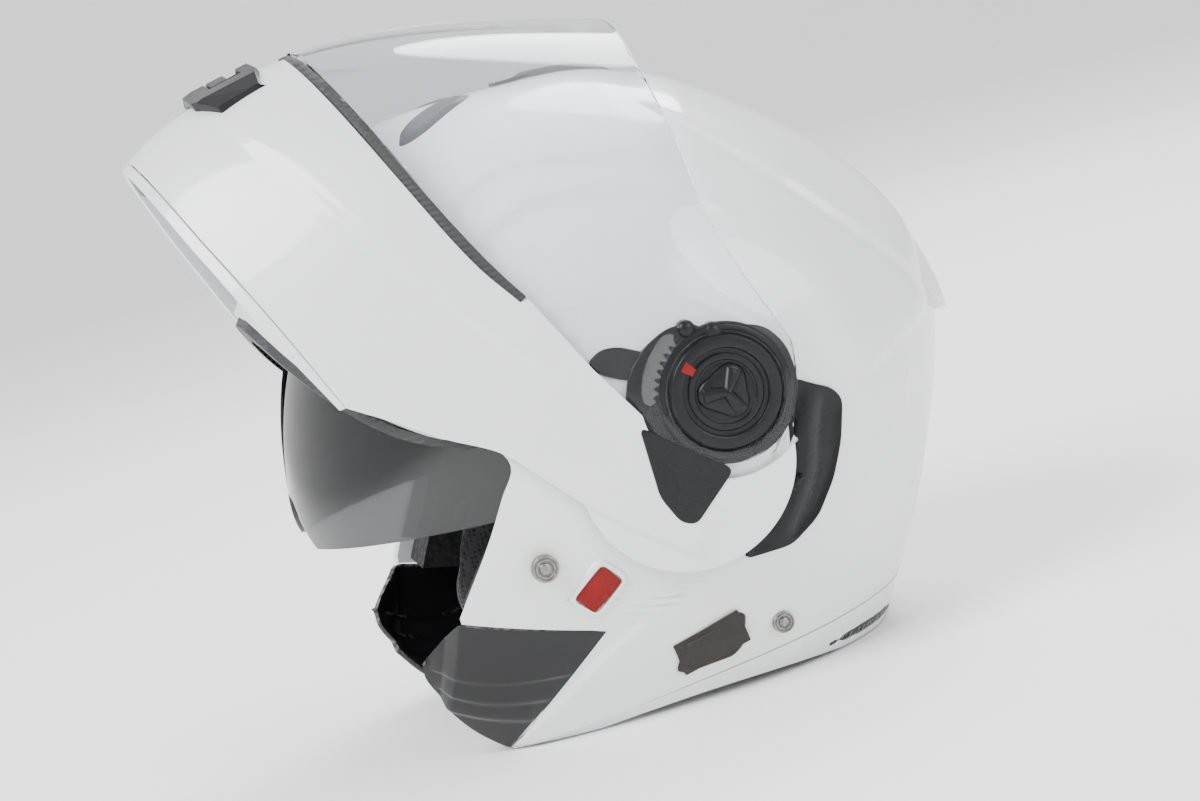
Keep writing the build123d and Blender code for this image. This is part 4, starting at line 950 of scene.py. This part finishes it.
def make_chin_bar(paint):
    """Painted skin of the chin bar with its arms, discs and inner arm walls."""
    disc = arc((0.0, HINGE_HEIGHT), 43.9, -106.0, 65.8, 40)
    low = side_line(FRONT, [(-223.0, 5.8), (-183.0, 7.0), (-137.0, 9.0)] + smooth(CHIN_LOWER, 6) + disc)
    ear = arc(VISOR_PIVOT, 34.8, -112.0, 18.3, 40)
    high = side_line(FRONT, smooth(CHIN_UPPER, 6) + [(-89.9, 91.3), (-53.1, 94.1)] + ear)
    rows = raised(skin(FRONT, low, high, 260, 44, 0.0, chin_crease))
    outer = grid_mesh("chin_bar_skin", rows)
    thicken(outer, 2.6, 0.9, centre=BAR_CENTRE)
    core_low = [(-92.0, 84.0), (-70.0, 89.0), (-40.0, 90.0), (-10.0, 92.0), (18.0, 104.0), (24.0, 122.0),
                (15.0, 141.0)]
    core_high = smooth(ARM_TOP, 6) + arc(VISOR_PIVOT, 31.0, 100.0, 21.0, 20)
    core = grid_mesh("arm_core", raised(skin(FRONT, side_line(FRONT, smooth(core_low, 8)),
                                             side_line(FRONT, core_high), 90, 24, 4.6)))
    thicken(core, 1.4, 0.5, centre=BAR_CENTRE)
    dress(core, "chin_bar", "gloss_white", paint)
    return dress(outer, "chin_bar", "gloss_white", paint, "chin_bar_shell")


def make_chin_lip(paint):
    """White strip along the chin bar's lower edge."""
    low = side_line(FRONT, [(-223.0, 1.2), (-183.0, 1.6), (-137.0, 3.2), (-99.0, 6.8)])
    high = side_line(FRONT, [(-223.0, 5.3), (-183.0, 6.5), (-137.0, 8.5), (-98.4, 9.3)])
    thing = grid_mesh("chin_lip_skin", raised(skin(FRONT, low, high, 120, 6, 0.6)))
    thicken(thing, 3.0, 0.8, centre=BAR_CENTRE)
    return dress(thing, "chin_bar", "gloss_white", paint, "chin_bar_lip")


def make_chin_lining(cover):
    """Smooth inner lining of the chin bar."""
    low = side_line(FRONT, [(-223.0, 9.0), (-183.0, 10.0), (-137.0, 12.0), (-104.0, 17.0)])
    high = side_line(FRONT, [(-218.0, 78.0), (-153.0, 78.0), (-115.0, 79.0), (-98.0, 80.0)])
    thing = grid_mesh("chin_bar_lining", raised(skin(FRONT, low, high, 120, 30, 4.4)))
    thicken(thing, 7.0, 2.0, 4, centre=BAR_CENTRE)
    return dress(thing, "chin_bar", "lining", cover, "chin_bar_liner")


def make_spoiler(paint):
    """Raised spoiler across the rear, its lower edge standing off the shell."""
    turn_at = lambda x, z: -front_line(SHELL, [(x, z)])[0][0]
    low, high = ([(turn_at(x, z), z) for x, z in smooth(line, 10)]
                 for line in ([(61.0, 134.5), (50.0, 124.0), (25.0, 119.5), (0.0, 118.5)],
                              [(61.5, 136.0), (48.0, 149.0), (25.0, 156.0), (0.0, 158.5)]))

    def lift(points, share, run):
        side = np.clip((1.0 - np.abs(points[:, 0]) / 61.5) * 4.0, 0.0, 1.0)
        return (0.5 + 4.8 * (1.0 - share) ** 0.9) * side

    thing = grid_mesh("spoiler_skin", skin(SHELL, low, high, 80, 24, 0.0, lift))
    thicken(thing, 5.4, 1.8, 4)
    return dress(thing, "shell", "gloss_white", paint, "rear_spoiler")


# Clear and smoke sheets

def ear_line(start, end, count):
    """Rim of the visor's ear: nearer to its pivot below and behind than on top."""
    line = []
    for turn in np.linspace(start, end, count + 1):
        radius = np.interp(turn, (-112.0, -87.0, -54.0, 60.0, 78.0, 90.0),
                           (34.0, 31.2, 28.6, 29.0, 31.5, 34.0))
        line += arc(VISOR_PIVOT, radius, turn, turn, 0)
    return line


def make_visor(clear, detent):
    """Clear visor with its ears and the scalloped detent strip."""
    ear_low = ear_line(-112.0, 10.0, 36)
    ear_high = ear_line(90.0, 10.0, 24)
    low = side_line(FRONT, smooth(VISOR_LOWER, 6) + ear_low)
    high = side_line(FRONT, smooth([(-151.5, 202.0)] + VISOR_UPPER[1:], 6) + ear_high)
    thing = grid_mesh("visor_sheet", raised(skin(FRONT, low, high, 190, 70, -0.4)))
    bore(thing, VISOR_PIVOT, 23.9)
    thicken(thing, 2.2, 0.7, 3, centre=BAR_CENTRE)
    dress(thing, "visor", "clear_visor", clear, "visor")
    rows = []
    for radius, wide in ((28.6, 124.6), (28.6, 127.2), (DETENT_RADIUS, 127.4), (34.2, 127.2),
                         (34.2, 124.6)):
        row = []
        for step in range(97):
            turn = radians(186.0 + 56.0 * step / 96)
            wave = 1.3 * sin(8 * pi * 2 * step / 96) if radius < 30.0 else 0.0
            ends = 1.0 - abs(step / 48.0 - 1.0) ** 10
            far = DETENT_RADIUS + (radius + wave - DETENT_RADIUS) * max(ends, 0.02)
            row.append(lift_up(about(VISOR_PIVOT, wide, far, turn)))
        rows.append(row)
    strip = grid_mesh("detent_strip", rows + rows[:1])
    look_outward(strip)
    settle(strip, 30.0)
    return dress(strip, "visor", "clear_visor", detent)


# Level outlines of the sun visor: height and front, the rest is the same at each.
SUN_ROWS = [(height, front, 104.0, 104.0, 2.05) for height, front in (
    (78.0, 146.0), (89.3, 147.0), (119.8, 145.7), (147.7, 140.7), (173.1, 131.8), (196.0, 119.1),
    (213.7, 106.4))]


def make_sun_visor(smoke):
    """Smoke inner visor with the cut for the nose."""
    form = Form(SUN_ROWS, -20.0)
    nose = front_line(form, smooth([(0.0, 119.0), (10.0, 115.5), (19.0, 105.0), (28.0, 96.6)], 8))
    wing = smooth([(-108.9, 96.4), (-64.5, 97.5), (-39.0, 109.6), (-14.0, 127.4), (-12.4, 134.0)], 8)
    low = nose + side_line(form, wing)
    brow = smooth([(-114.5, 201.0), (-77.2, 173.1), (-40.0, 155.0), (-14.9, 145.2), (-12.4, 135.0)], 8)
    high = side_line(form, brow)
    thing = grid_mesh("sun_visor_sheet", skin(form, low, high, 120, 50, 0.0))
    thicken(thing, 2.0, 0.6, centre=(0.0, -20.0, 135.0))
    return dress(thing, "sun_visor", "smoke_visor", smoke, "sun_visor")


# Black parts on the sides

def make_cheek_cover(gloss):
    """Gloss black cover under the eye port, with curved grooves and a bevelled front strip."""
    low = smooth([(-120.0, 45.0), (-119.0, 35.1), (-107.0, 14.5), (-94.0, 1.6), (-91.0, 1.9)], 8)
    low += [(-68.0, 22.6), (-47.0, 40.5), (-46.0, 42.4)]
    high = rounded([(-120.0, 45.5), (-102.5, 60.3), (-46.5, 43.2), (-100.0, 40.0)], 3.0)[3:16]

    def lift(points, share, run):
        edge = np.clip((-110.0 - points[:, 1] + (points[:, 2] - 30.0) * 0.28) / 6.0, 0.0, 1.0)
        grooves = np.zeros(len(points))
        for line in ([(-118, 26), (-100, 17), (-80, 11)], [(-118, 34), (-98, 24), (-72, 19)],
                     [(-118, 42), (-94, 32), (-62, 28)]):
            grooves += step_along(points, smooth(line), 0.9, 1.4, 7.0, ends=4.0)
        return -0.2 - 2.4 * edge + grooves

    thing = grid_mesh("cheek_cover_skin", skin(SHELL, side_line(SHELL, low), side_line(SHELL, high), 110,
                                               44, 0.0, lift))
    thicken(thing, 2.4, 0.7)
    return dress(thing, "shell", "gloss_black", gloss, "cheek_cover_left", "cheek_cover_right")


def make_recess_trim(satin):
    """Dark dished trim behind the arm's disc, with its upright rib."""
    outline = rounded(RECESS, 4.0)
    rib = smooth([(33.0, 61.0), (47.0, 80.0), (53.0, 98.0), (58.0, 110.0)], 10)

    def lift(flat, inward):
        far = np.min([np.hypot(flat[:, 0] - a, flat[:, 1] - b) for a, b in rib], axis=0)
        dish = -1.9 * min(inward / 0.18, 1.0)
        return 1.0 + dish + 2.6 * np.maximum(0.0, 1.0 - far / 5.5) ** 0.6 * min(inward / 0.10, 1.0)

    thing = grid_mesh("recess_trim_skin", patch(on_shell, outline, 14, lift), closed=True)
    thicken(thing, 1.8, 0.5, 2)
    return dress(thing, "shell", "gloss_black", satin, "recess_trim_left", "recess_trim_right")


def make_lock_surround(paint):
    """White raised surround of the lock slider."""
    outer = spread(rounded([(-60.0, 60.0), (-43.0, 75.0), (-31.5, 62.5), (-48.5, 47.0)], 5.0), 80)[:-1]
    inner = spread(rounded(LOCK_WINDOW, 2.5), 80)[:-1]
    start = int(np.argmin(np.linalg.norm(inner - outer[0], axis=1)))
    inner = np.roll(inner, -start, axis=0)
    rows = []
    for share, lift in ((0.0, -0.3), (0.2, 1.0), (0.55, 1.7), (0.85, 1.5), (1.0, 0.2), (1.0, -2.0)):
        rows.append(on_shell(outer * (1 - share) + inner * share, lift))
    frame_piece = grid_mesh("lock_surround", rows, closed=True)
    look_outward(frame_piece)
    settle(frame_piece, 50.0)
    dress(frame_piece, "shell", "gloss_white", paint)
    return frame_piece


def make_round_head(name, place, radius, face, steel, node):
    """Round satin head with turned rings and a plain domed middle."""
    profile = [(0.01, face), (radius * 0.30, face - 0.05), (radius * 0.42, face - 0.35),
               (radius * 0.46, face - 0.9), (radius * 0.54, face - 0.9), (radius * 0.58, face - 0.3),
               (radius * 0.70, face - 0.25), (radius * 0.74, face - 0.65), (radius * 0.80, face - 0.65),
               (radius * 0.84, face - 0.15), (radius * 0.95, face - 0.25), (radius, face - 0.9),
               (radius, face - 4.0)]
    thing = turned(name, place, profile, 56)
    finish_solid(thing, 0.12, 2, 30.0, 50.0)
    return dress(thing, "shell", "steel", steel, *node)


def make_latch_hooks(steel):
    """Flat steel rings inside the chin bar that close round the latch pins."""
    ring = turned("latch_hook_ring", LATCH, [(7.4, 113.6), (9.2, 113.6), (9.2, 114.4), (7.4, 114.4),
                                             (7.4, 113.6)], 48, lift_up)
    settle(ring, 30.0)
    return dress(ring, "latch_hooks", "steel", steel, "latch_hook_left", "latch_hook_right")


def make_mechanism(black):
    """Visor mechanism's base plate with its leaf, its wedge and its two knobs."""
    plate = rounded([(-48.0, 127.5), (-43.5, 136.5), (-38.0, 139.0), (-31.0, 152.0), (-24.0, 159.5),
                     (-13.0, 162.0), (2.0, 157.5), (12.0, 146.0), (16.0, 132.0), (13.0, 118.0),
                     (5.5, 107.0), (-6.0, 100.0), (-29.5, 92.6), (-42.3, 102.6), (-47.5, 114.0)], 6.0, 6)
    side_plate = grid_mesh("mechanism_plate", raised(patch(on_disc, plate, 8, lambda flat, inward: -1.0)),
                           closed=True)
    thicken(side_plate, 3.0, 0.7, centre=BAR_CENTRE)
    dress(side_plate, "chin_bar", "matte_black", black, "visor_base_left", "visor_base_right")
    leaf = rounded([(-55.8, 94.3), (-57.0, 101.0), (-54.0, 107.3), (-44.0, 116.0), (-38.0, 106.0),
                    (-41.5, 101.5), (-46.0, 97.6), (-51.0, 94.2)], 4.0)
    wedge = rounded([(-24.0, 94.4), (3.7, 84.2), (16.8, 84.9), (21.5, 89.5), (13.2, 114.4), (0.0, 108.0)],
                    3.5)
    for name, outline, place, lift in (("mechanism_leaf", leaf, on_disc, -3.2),
                                       ("mechanism_wedge", wedge, on_front, 0.5)):
        tab = grid_mesh(name, raised(patch(place, outline, 8, lambda flat, inward: lift)), closed=True)
        thicken(tab, 1.6, 0.5, centre=BAR_CENTRE)
        dress(tab, "chin_bar", "matte_black", black)
    for number, (y, z, radius) in enumerate(((-43.0, 133.0, 3.6), (-35.5, 141.0, 3.9))):
        knob = turned(f"mechanism_knob_{number + 1}", (y, z),
                      [(0.01, 126.6), (radius * 0.6, 126.4), (radius * 0.9, 125.6), (radius, 124.4),
                       (radius, 120.0)], 32, lift_up)
        finish_solid(knob, 0.2, 2)
        dress(knob, "chin_bar", "matte_black", black)


def make_hub(black, red):
    """Ringed hub over the base plate, its boss with the Y-shaped ridge, and the red mark."""
    face = 127.9
    profile = [(11.8, face - 1.9), (12.6, face - 1.9), (13.0, face - 1.2), (15.2, face - 1.2),
               (15.7, face - 1.9), (17.4, face - 1.9), (17.8, face - 0.2), (19.0, face), (22.4, face - 0.1),
               (22.9, face - 0.9), (23.6, face - 2.2), (24.6, face - 2.2), (24.9, face - 1.7),
               (27.0, face - 2.1), (28.0, face - 3.2), (28.0, 122.6), (11.8, 122.6), (11.8, face - 1.9)]
    ring = turned("hub_ring", VISOR_PIVOT, profile, 96, lift_up)
    finish_solid(ring, 0.18, 2, 35.0, 45.0)
    dress(ring, "chin_bar", "matte_black", black, "visor_hub_left", "visor_hub_right")

    def lobes(turn, radius):
        return 1.0 + 0.14 * cos(3 * (turn - radians(3.0))) * min(radius / 8.0, 1.0)

    steps = [(0.01, 1.4), (3.0, 1.4), (6.0, 1.3), (8.6, 1.0), (9.8, 0.5), (10.5, -0.6), (10.6, -3.0),
             (10.6, -5.0)]
    boss = turned("hub_boss", VISOR_PIVOT, [(radius, 126.2 + rise) for radius, rise in steps], 72, lift_up,
                  lobes)
    dress(settle(boss, 50.0), "chin_bar", "matte_black", black, "hub_bosses")
    for number in range(3):
        turn = radians(3.0 + 120.0 * number)
        rows = []
        for step in range(9):
            far, share = 0.2 + 9.4 * step / 8, step / 8
            wide, high = 2.3 + 1.3 * share, 2.2 * (1.0 - 0.35 * share)
            row = []
            for across, up in ((-1.0, -0.8), (-0.55, 0.55), (0.0, 1.0), (0.55, 0.55), (1.0, -0.8)):
                y = VISOR_PIVOT[0] + far * cos(turn) - wide * across * sin(turn)
                z = VISOR_PIVOT[1] + far * sin(turn) + wide * across * cos(turn)
                row.append(lift_up(Vector((128.5 - 1.1 * share ** 1.5 + high * up * 0.6, y, z))))
            rows.append(row)
        rows.append([rows[-1][2] * 0.3 + point * 0.7 - Vector((1.4, 0, 0)) for point in rows[-1]])
        ridge = grid_mesh(f"boss_ridge_{number + 1}", rows)
        look_outward(ridge, BAR_CENTRE)
        thicken(ridge, 1.2, 0.3, 2, centre=BAR_CENTRE)
        dress(ridge, "chin_bar", "matte_black", black)
    rows = []
    for radius, wide in ((15.4, 125.4), (15.4, 127.9), (20.6, 128.1), (20.6, 125.4)):
        rows.append([lift_up(about(VISOR_PIVOT, wide, radius, radians(turn))) for turn in range(197, 210, 2)])
    mark = grid_mesh("hub_mark", rows)
    thicken(mark, 0.4, 0.15, 2, centre=BAR_CENTRE)
    dress(mark, "chin_bar", "red_plastic", red, "hub_marks")


def make_vents(grey):
    """Front crown vents and the hood between them, draped over the shell."""
    vent = rounded([(42.5, -66.0), (43.5, -61.0), (41.5, -53.0), (36.0, -44.0), (27.0, -32.0),
                    (20.0, -27.5), (12.5, -28.5), (13.5, -36.0), (22.0, -50.0), (31.0, -62.0)], 3.0)

    def lift(flat, inward):
        return 1.5 * min(inward / 0.25, 1.0) - 0.6 * max(0.0, (inward - 0.35) / 0.65)

    for side in (1.0, -1.0):
        outline = [(side * x, y) for x, y in vent]
        thing = grid_mesh(f"crown_vent_cover_{'left' if side > 0 else 'right'}",
                          patch(on_crown, outline, 12, lift), False, True)
        thicken(thing, 2.2, 0.4, 2)
        dress(thing, "shell", "matte_black", grey, "front_vent_left" if side > 0 else "front_vent_right")
    hood = rounded([(9.0, -2.0), (9.0, 30.0), (5.5, 38.0), (-5.5, 38.0), (-9.0, 30.0), (-9.0, -2.0),
                    (0.0, -12.0)], 3.0)
    dome = patch(on_crown, hood, 12, lambda flat, inward: 3.0 * min(inward / 0.4, 1.0))
    cap = grid_mesh("crown_hood_cover", dome, False, True)
    thicken(cap, 2.2, 0.4, 2)
    dress(cap, "shell", "matte_black", grey, "crown_hood")


def make_sun_slider(brown):
    """Grip of the sun visor slider, five-sided with a rounded rim."""
    outline = rounded(SLIDE_WINDOW, 2.2)

    def lift(flat, inward):
        return 1.9 * min(inward / 0.10, 1.0) ** 0.6 - 0.5 * min(max(inward - 0.16, 0.0) / 0.12, 1.0)

    thing = grid_mesh("sun_slider_grip", patch(on_shell, outline, 18, lift), closed=True)
    thicken(thing, 4.0, 0.3, 2)
    return dress(thing, "sun_visor_slider", "matte_black", brown)


# Soft parts and linings

def make_crown_pad(fabric, fill):
    """Swollen fabric cap against the foam."""
    form = Form([(118.0, 100.0, 112.0, 85.0, 2.3), (150.0, 100.0, 108.0, 83.0, 2.3),
                 (178.0, 94.0, 93.0, 76.0, 2.2), (200.0, 80.0, 72.0, 62.0, 2.1),
                 (215.0, 60.0, 50.0, 45.0, 2.0), (222.0, 36.0, 28.0, 26.0, 2.0),
                 (224.5, 14.0, 6.0, 9.0, 2.0), (224.6, 5.6, -4.4, 0.5, 2.0)], -5.0)
    rows = []
    for way in np.linspace(form.along_of(124.0), form.along[-1], 60):
        turns = np.linspace(-pi / 2 * 0.93, pi / 2, 70)
        points = form.lay(turns, np.full(70, way), 1.5)
        points[-1, 0] = 0.0
        rows.append(points)
    thing = grid_mesh("crown_pad_cover", rows)
    thicken(thing, 7.0, 0.0)
    swell(thing, 6.0, 5.0)
    return dress(thing, "shell", "lining", fabric, "crown_pad", soft=fill)


def make_cheek_pads(fabric, fill):
    """Cheek pads: crowned forms whose sides pull in, with a sewn line round the face."""
    outline = rounded([(-80.0, 26.0), (-83.0, 42.0), (-74.0, 66.0), (-60.0, 86.0), (-42.0, 95.0),
                       (-20.0, 92.0), (-6.0, 76.0), (-5.0, 48.0), (-16.0, 28.0), (-40.0, 21.0)], 12.0, 6)
    edge = spread(outline + outline[:1], 72)[:-1]
    middle = edge.mean(axis=0)
    rows = []
    for wide, share in ((76.8, 0.02), (77.4, 0.5), (77.0, 0.9), (74.5, 0.985), (69.5, 0.95), (64.5, 0.97),
                        (61.8, 0.88), (60.6, 0.80), (61.4, 0.76), (60.4, 0.70), (60.0, 0.4), (60.0, 0.02)):
        rows.append([Vector((wide, *(middle + (point - middle) * share))) for point in edge])
    left = grid_mesh("cheek_pad_cover", rows, closed=True)
    look_outward(left)
    close_ends(left)
    swell(left, 4.5, 4.0)
    return dress(left, "shell", "lining", fabric, "cheek_pad_left", "cheek_pad_right", soft=fill)


def close_ends(thing):
    """Fills the open loops of a form."""
    with edited(thing) as mesh:
        bmesh.ops.holes_fill(mesh, edges=[edge for edge in mesh.edges if edge.is_boundary])
        bmesh.ops.recalc_face_normals(mesh, faces=mesh.faces)


def make_neck_roll(fabric, fill):
    """Padded roll round the neck opening."""
    line = smooth([(87.0, -50.0), (89.0, -20.0), (89.0, 20.0), (80.0, 55.0), (60.0, 78.0), (32.0, 89.0),
                   (0.0, 91.5)], 10)
    path = spread(line, 70)
    rows = []
    for place, (x, y) in enumerate(path):
        ahead, back = path[min(place + 1, 70)], path[max(place - 1, 0)]
        run = (ahead - back) / np.linalg.norm(ahead - back)
        out = np.array([-run[1], run[0]]) * (-1 if -run[1] * x + run[0] * y < 0 else 1)
        end = min(1.0, (place + 1.5) / 5.0)
        row = []
        for step in range(24):
            turn = 2 * pi * step / 24
            across = 5.4 * end * np.sign(cos(turn)) * abs(cos(turn)) ** 0.8
            up = 7.2 * end * np.sign(sin(turn)) * abs(sin(turn)) ** 0.8
            row.append((x + out[0] * across - out[0] * 3.0, y + out[1] * across - out[1] * 3.0, 8.6 + up))
        rows.append(row)
    thing = grid_mesh("neck_roll_cover", rows, closed=True)
    close_ends(thing)
    swell(thing, 4.0, 2.0)
    return dress(thing, "shell", "lining", fabric, "neck_roll", soft=fill)


def make_straps(webbing):
    """Chin strap webbing, the straps' own solids with rounded edges."""
    for side in ("left", "right"):
        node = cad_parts[f"chin_strap_{side}"]
        thing = new_object(f"strap_webbing_{side}", node.data.copy())
        weld(thing, 0.05)
        finish_solid(thing, 0.5, 3, 30.0, 40.0)
        dress(thing, "shell", "webbing", webbing, f"chin_strap_{side}")


def coat(material, edge, *names):
    """Finish and rounded edges for solid parts whose own shape is right."""
    for name in names:
        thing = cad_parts[name]
        thing.data.materials.clear()
        thing.data.materials.append(material)
        if edge:
            weld(thing, 0.02)
            round_rim(thing, edge, 2, 28.0)


# Stage and camera

def make_stage(look):
    """Pale floor that curves up to a round backdrop, soft lamps and an even sky."""
    rows = []
    for far, height in ((0.0, 0.0), (0.5, 0.0), (1.2, 0.0), (2.4, 0.0), (3.4, 0.02), (4.0, 0.16),
                        (4.4, 0.55), (4.6, 1.2), (4.65, 2.2)):
        rows.append([(far / MM * cos(2 * pi * step / 96), far / MM * sin(2 * pi * step / 96),
                      height / MM - 0.5) for step in range(96)])
    floor = grid_mesh("stage_floor", rows, mirror=False, closed=True)
    look_outward(floor, (0.0, 0.0, -5000.0))
    settle(floor, 60.0)
    paper = Surface({}, "stage_paper", 0.9)
    place = paper.tree.nodes.new("ShaderNodeTexCoord").outputs["Object"]
    paper.tint(noise_node(paper.tree, place, 3.0, 2.0), look.floor, scaled(look.floor, 0.995))
    floor.data.materials.append(paper.material)
    world = bpy.data.worlds.new("even_sky")
    world.use_nodes = True
    back = world.node_tree.nodes["Background"]
    back.inputs["Color"].default_value = (1.0, 1.0, 1.0, 1.0)
    back.inputs["Strength"].default_value = look.sky
    bpy.context.scene.world = world
    for name, place, size, power in (("key_softbox", (0.9, -1.6, 1.9), 1.6, look.key),
                                     ("fill_softbox", (1.9, 1.3, 1.0), 1.2, look.key * 0.22),
                                     ("rim_softbox", (-1.2, 0.9, 1.9), 1.2, look.key * 0.5)):
        lamp = bpy.data.lights.new(name, "AREA")
        lamp.shape = "DISK"
        lamp.size = size
        lamp.energy = power
        thing = new_object(name, lamp)
        thing.location = place
        aim = Vector((0.0, 0.0, 0.12)) - thing.location
        thing.rotation_euler = aim.to_track_quat("-Z", "Y").to_euler()


def make_camera():
    """Camera at the photograph's viewing angle, turned about its own line of sight."""
    round_it, up, roll = radians(79.4), radians(7.5), radians(15.2)
    lens = bpy.data.cameras.new("camera")
    lens.lens = 87.8
    lens.sensor_width = 36.0
    lens.shift_x = -0.3 / 1200
    lens.shift_y = -2.9 / 1200
    thing = new_object("camera", lens)
    away = Vector((sin(round_it) * cos(up), -cos(round_it) * cos(up), sin(up)))
    target = Vector((0.0, -4.0, 120.0)) * MM
    thing.location = target + away * 1278.0 * MM
    aim = (-away).to_track_quat("-Z", "Y")
    thing.rotation_euler = (aim @ Matrix.Rotation(-roll, 3, "Z").to_quaternion()).to_euler()
    bpy.context.scene.camera = thing


# What a user can change

def colour_setting(name, description, default):
    """A colour that the user can change."""
    return FloatVectorProperty(name=name, description=description, subtype="COLOR", size=3, min=0.0,
                               max=1.0, default=default)


class HelmetLook(PropertyGroup):
    """Colours, finish and light."""

    white_paint: colour_setting("White paint", "Colour of the lacquer", (0.74, 0.75, 0.765))
    black_paint: colour_setting("Black paint", "Colour of the gloss black covers", (0.006, 0.006, 0.007))
    fabric: colour_setting("Lining fabric", "Colour of the mesh fabric", (0.028, 0.028, 0.030))
    visor_tint: colour_setting("Visor tint", "Colour of the clear visor", (0.80, 0.825, 0.85))
    sun_tint: colour_setting("Sun visor tint", "Colour of the smoke visor", (0.055, 0.057, 0.06))
    floor: colour_setting("Floor", "Colour of the floor and backdrop", (0.97, 0.97, 0.97))
    paint_peel: FloatProperty(name="Paint peel", description="Strength of the lacquer's orange peel",
                              subtype="FACTOR", min=0.0, max=1.0, default=0.05)
    pad_fill: FloatProperty(name="Pad fill", description="How tightly the pads are stuffed",
                            subtype="FACTOR", min=0.0, max=1.0, default=0.7)
    sky: FloatProperty(name="Sky", description="Strength of the even light", min=0.0, default=1.0)
    key: FloatProperty(name="Key lamp", description="Power of the main softbox", unit="POWER", min=0.0,
                       default=95.0)


finishes = {}


def finish(name):
    """One of the finishes, all made on first use."""
    if not finishes:
        finishes["all"] = Finishes()
    return getattr(finishes["all"], name)


class HelmetStep(Operator):
    """Builds one group of the helmet's pieces"""

    bl_options = {"REGISTER", "UNDO"}

    def execute(self, context):
        self.build(context.scene.helmet_look)
        return {"FINISHED"}


class HELMET_OT_stage(HelmetStep):
    """Floor, backdrop, lamps and camera"""

    bl_idname = "helmet.stage"
    bl_label = "Stage and camera"

    def build(self, look):
        make_stage(look)
        make_camera()


class HELMET_OT_shell(HelmetStep):
    """Painted outer shell with its base trim and rear spoiler"""

    bl_idname = "helmet.shell"
    bl_label = "Shell"

    def build(self, look):
        make_shell(finish("white"))
        make_base_trim(finish("white"))
        make_spoiler(finish("white"))


class HELMET_OT_chin_bar(HelmetStep):
    """Painted chin bar with its lip and its lining"""

    bl_idname = "helmet.chin_bar"
    bl_label = "Chin bar"

    def build(self, look):
        make_chin_bar(finish("white"))
        make_chin_lip(finish("white"))
        make_chin_lining(finish("slate_lining"))


class HELMET_OT_visors(HelmetStep):
    """Clear visor with its detent strip, and the smoke inner visor"""

    bl_idname = "helmet.visors"
    bl_label = "Visors"

    def build(self, look):
        make_visor(finish("clear"), finish("detent"))
        make_sun_visor(finish("smoke"))


class HELMET_OT_mechanism(HelmetStep):
    """Visor mechanism on both discs"""

    bl_idname = "helmet.mechanism"
    bl_label = "Visor mechanism"

    def build(self, look):
        make_mechanism(finish("mechanism"))
        make_hub(finish("mechanism"), finish("red"))


class HELMET_OT_side_parts(HelmetStep):
    """Cheek covers, recess trims, lock surrounds, latch hooks, vents, grips, latch pins and strap rivets"""

    bl_idname = "helmet.side_parts"
    bl_label = "Side parts"

    def build(self, look):
        make_cheek_cover(finish("gloss_black"))
        make_recess_trim(finish("mechanism"))
        make_lock_surround(finish("white"))
        make_latch_hooks(finish("steel"))
        make_vents(finish("vent_grey"))
        make_sun_slider(finish("slider_brown"))
        pin_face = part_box("latch_pins")[1].x / MM
        rivet_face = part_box("strap_rivets")[1].x / MM
        make_round_head("latch_pin_head", LATCH, 5.6, pin_face, finish("steel"), ["latch_pins"])
        make_round_head("strap_rivet_head", (26.0, 23.5), 4.6, rivet_face, finish("steel"),
                        ["strap_rivets"])


class HELMET_OT_lining(HelmetStep):
    """Crown pad, cheek pads, neck roll and chin strap"""

    bl_idname = "helmet.lining"
    bl_label = "Lining"

    def build(self, look):
        make_crown_pad(finish("mesh_fabric"), look.pad_fill)
        make_cheek_pads(finish("mesh_fabric"), look.pad_fill)
        make_neck_roll(finish("mesh_fabric"), look.pad_fill)
        make_straps(finish("webbing"))


class HELMET_OT_solid_parts(HelmetStep):
    """Finishes of the solid parts whose own shape shows"""

    bl_idname = "helmet.solid_parts"
    bl_label = "Solid parts"

    def build(self, look):
        coat(finish("vent_grey"), 0.6, "crown_vent_slider")
        coat(finish("foam"), 0.0, "foam_liner")
        coat(finish("satin_black"), 0.6, "chin_vent", "chin_vent_slider", "rear_vent", "release_button",
             "sun_visor_brackets")
        coat(finish("slider_brown"), 0.7, "sun_visor_slider")
        coat(finish("red"), 0.8, "lock_slider", "buckle_lever")
        coat(finish("rubber"), 0.5, "brow_seal", "visor_gasket")
        coat(finish("steel"), 0.2, "hinge_pins", "buckle_pin", "buckle_body")
        coat(finish("satin_black"), 0.3, "buckle_tongue")


class HELMET_PT_panel(Panel):
    """Lists the helmet's steps and its look"""

    bl_idname = "HELMET_PT_panel"
    bl_label = "Helmet"
    bl_space_type = "VIEW_3D"
    bl_region_type = "UI"
    bl_category = "Helmet"

    def draw(self, context):
        for name in HelmetLook.__annotations__:
            self.layout.prop(context.scene.helmet_look, name)
        for step in STEPS:
            self.layout.operator(step.bl_idname)


STEPS = (HELMET_OT_stage, HELMET_OT_shell, HELMET_OT_chin_bar, HELMET_OT_visors, HELMET_OT_mechanism,
         HELMET_OT_side_parts, HELMET_OT_lining, HELMET_OT_solid_parts)
CLASSES = (HelmetLook,) + STEPS + (HELMET_PT_panel,)


def register():
    """Registers the classes and the look's settings."""
    for item in CLASSES:
        bpy.utils.register_class(item)
    bpy.types.Scene.helmet_look = PointerProperty(type=HelmetLook)


def unregister():
    """Takes the settings and classes away again."""
    del bpy.types.Scene.helmet_look
    for item in reversed(CLASSES):
        bpy.utils.unregister_class(item)


def main():
    """Builds everything in order."""
    register()
    for step in STEPS:
        getattr(bpy.ops.helmet, step.bl_idname.split(".")[1])()


if __name__ == "__main__":
    main()
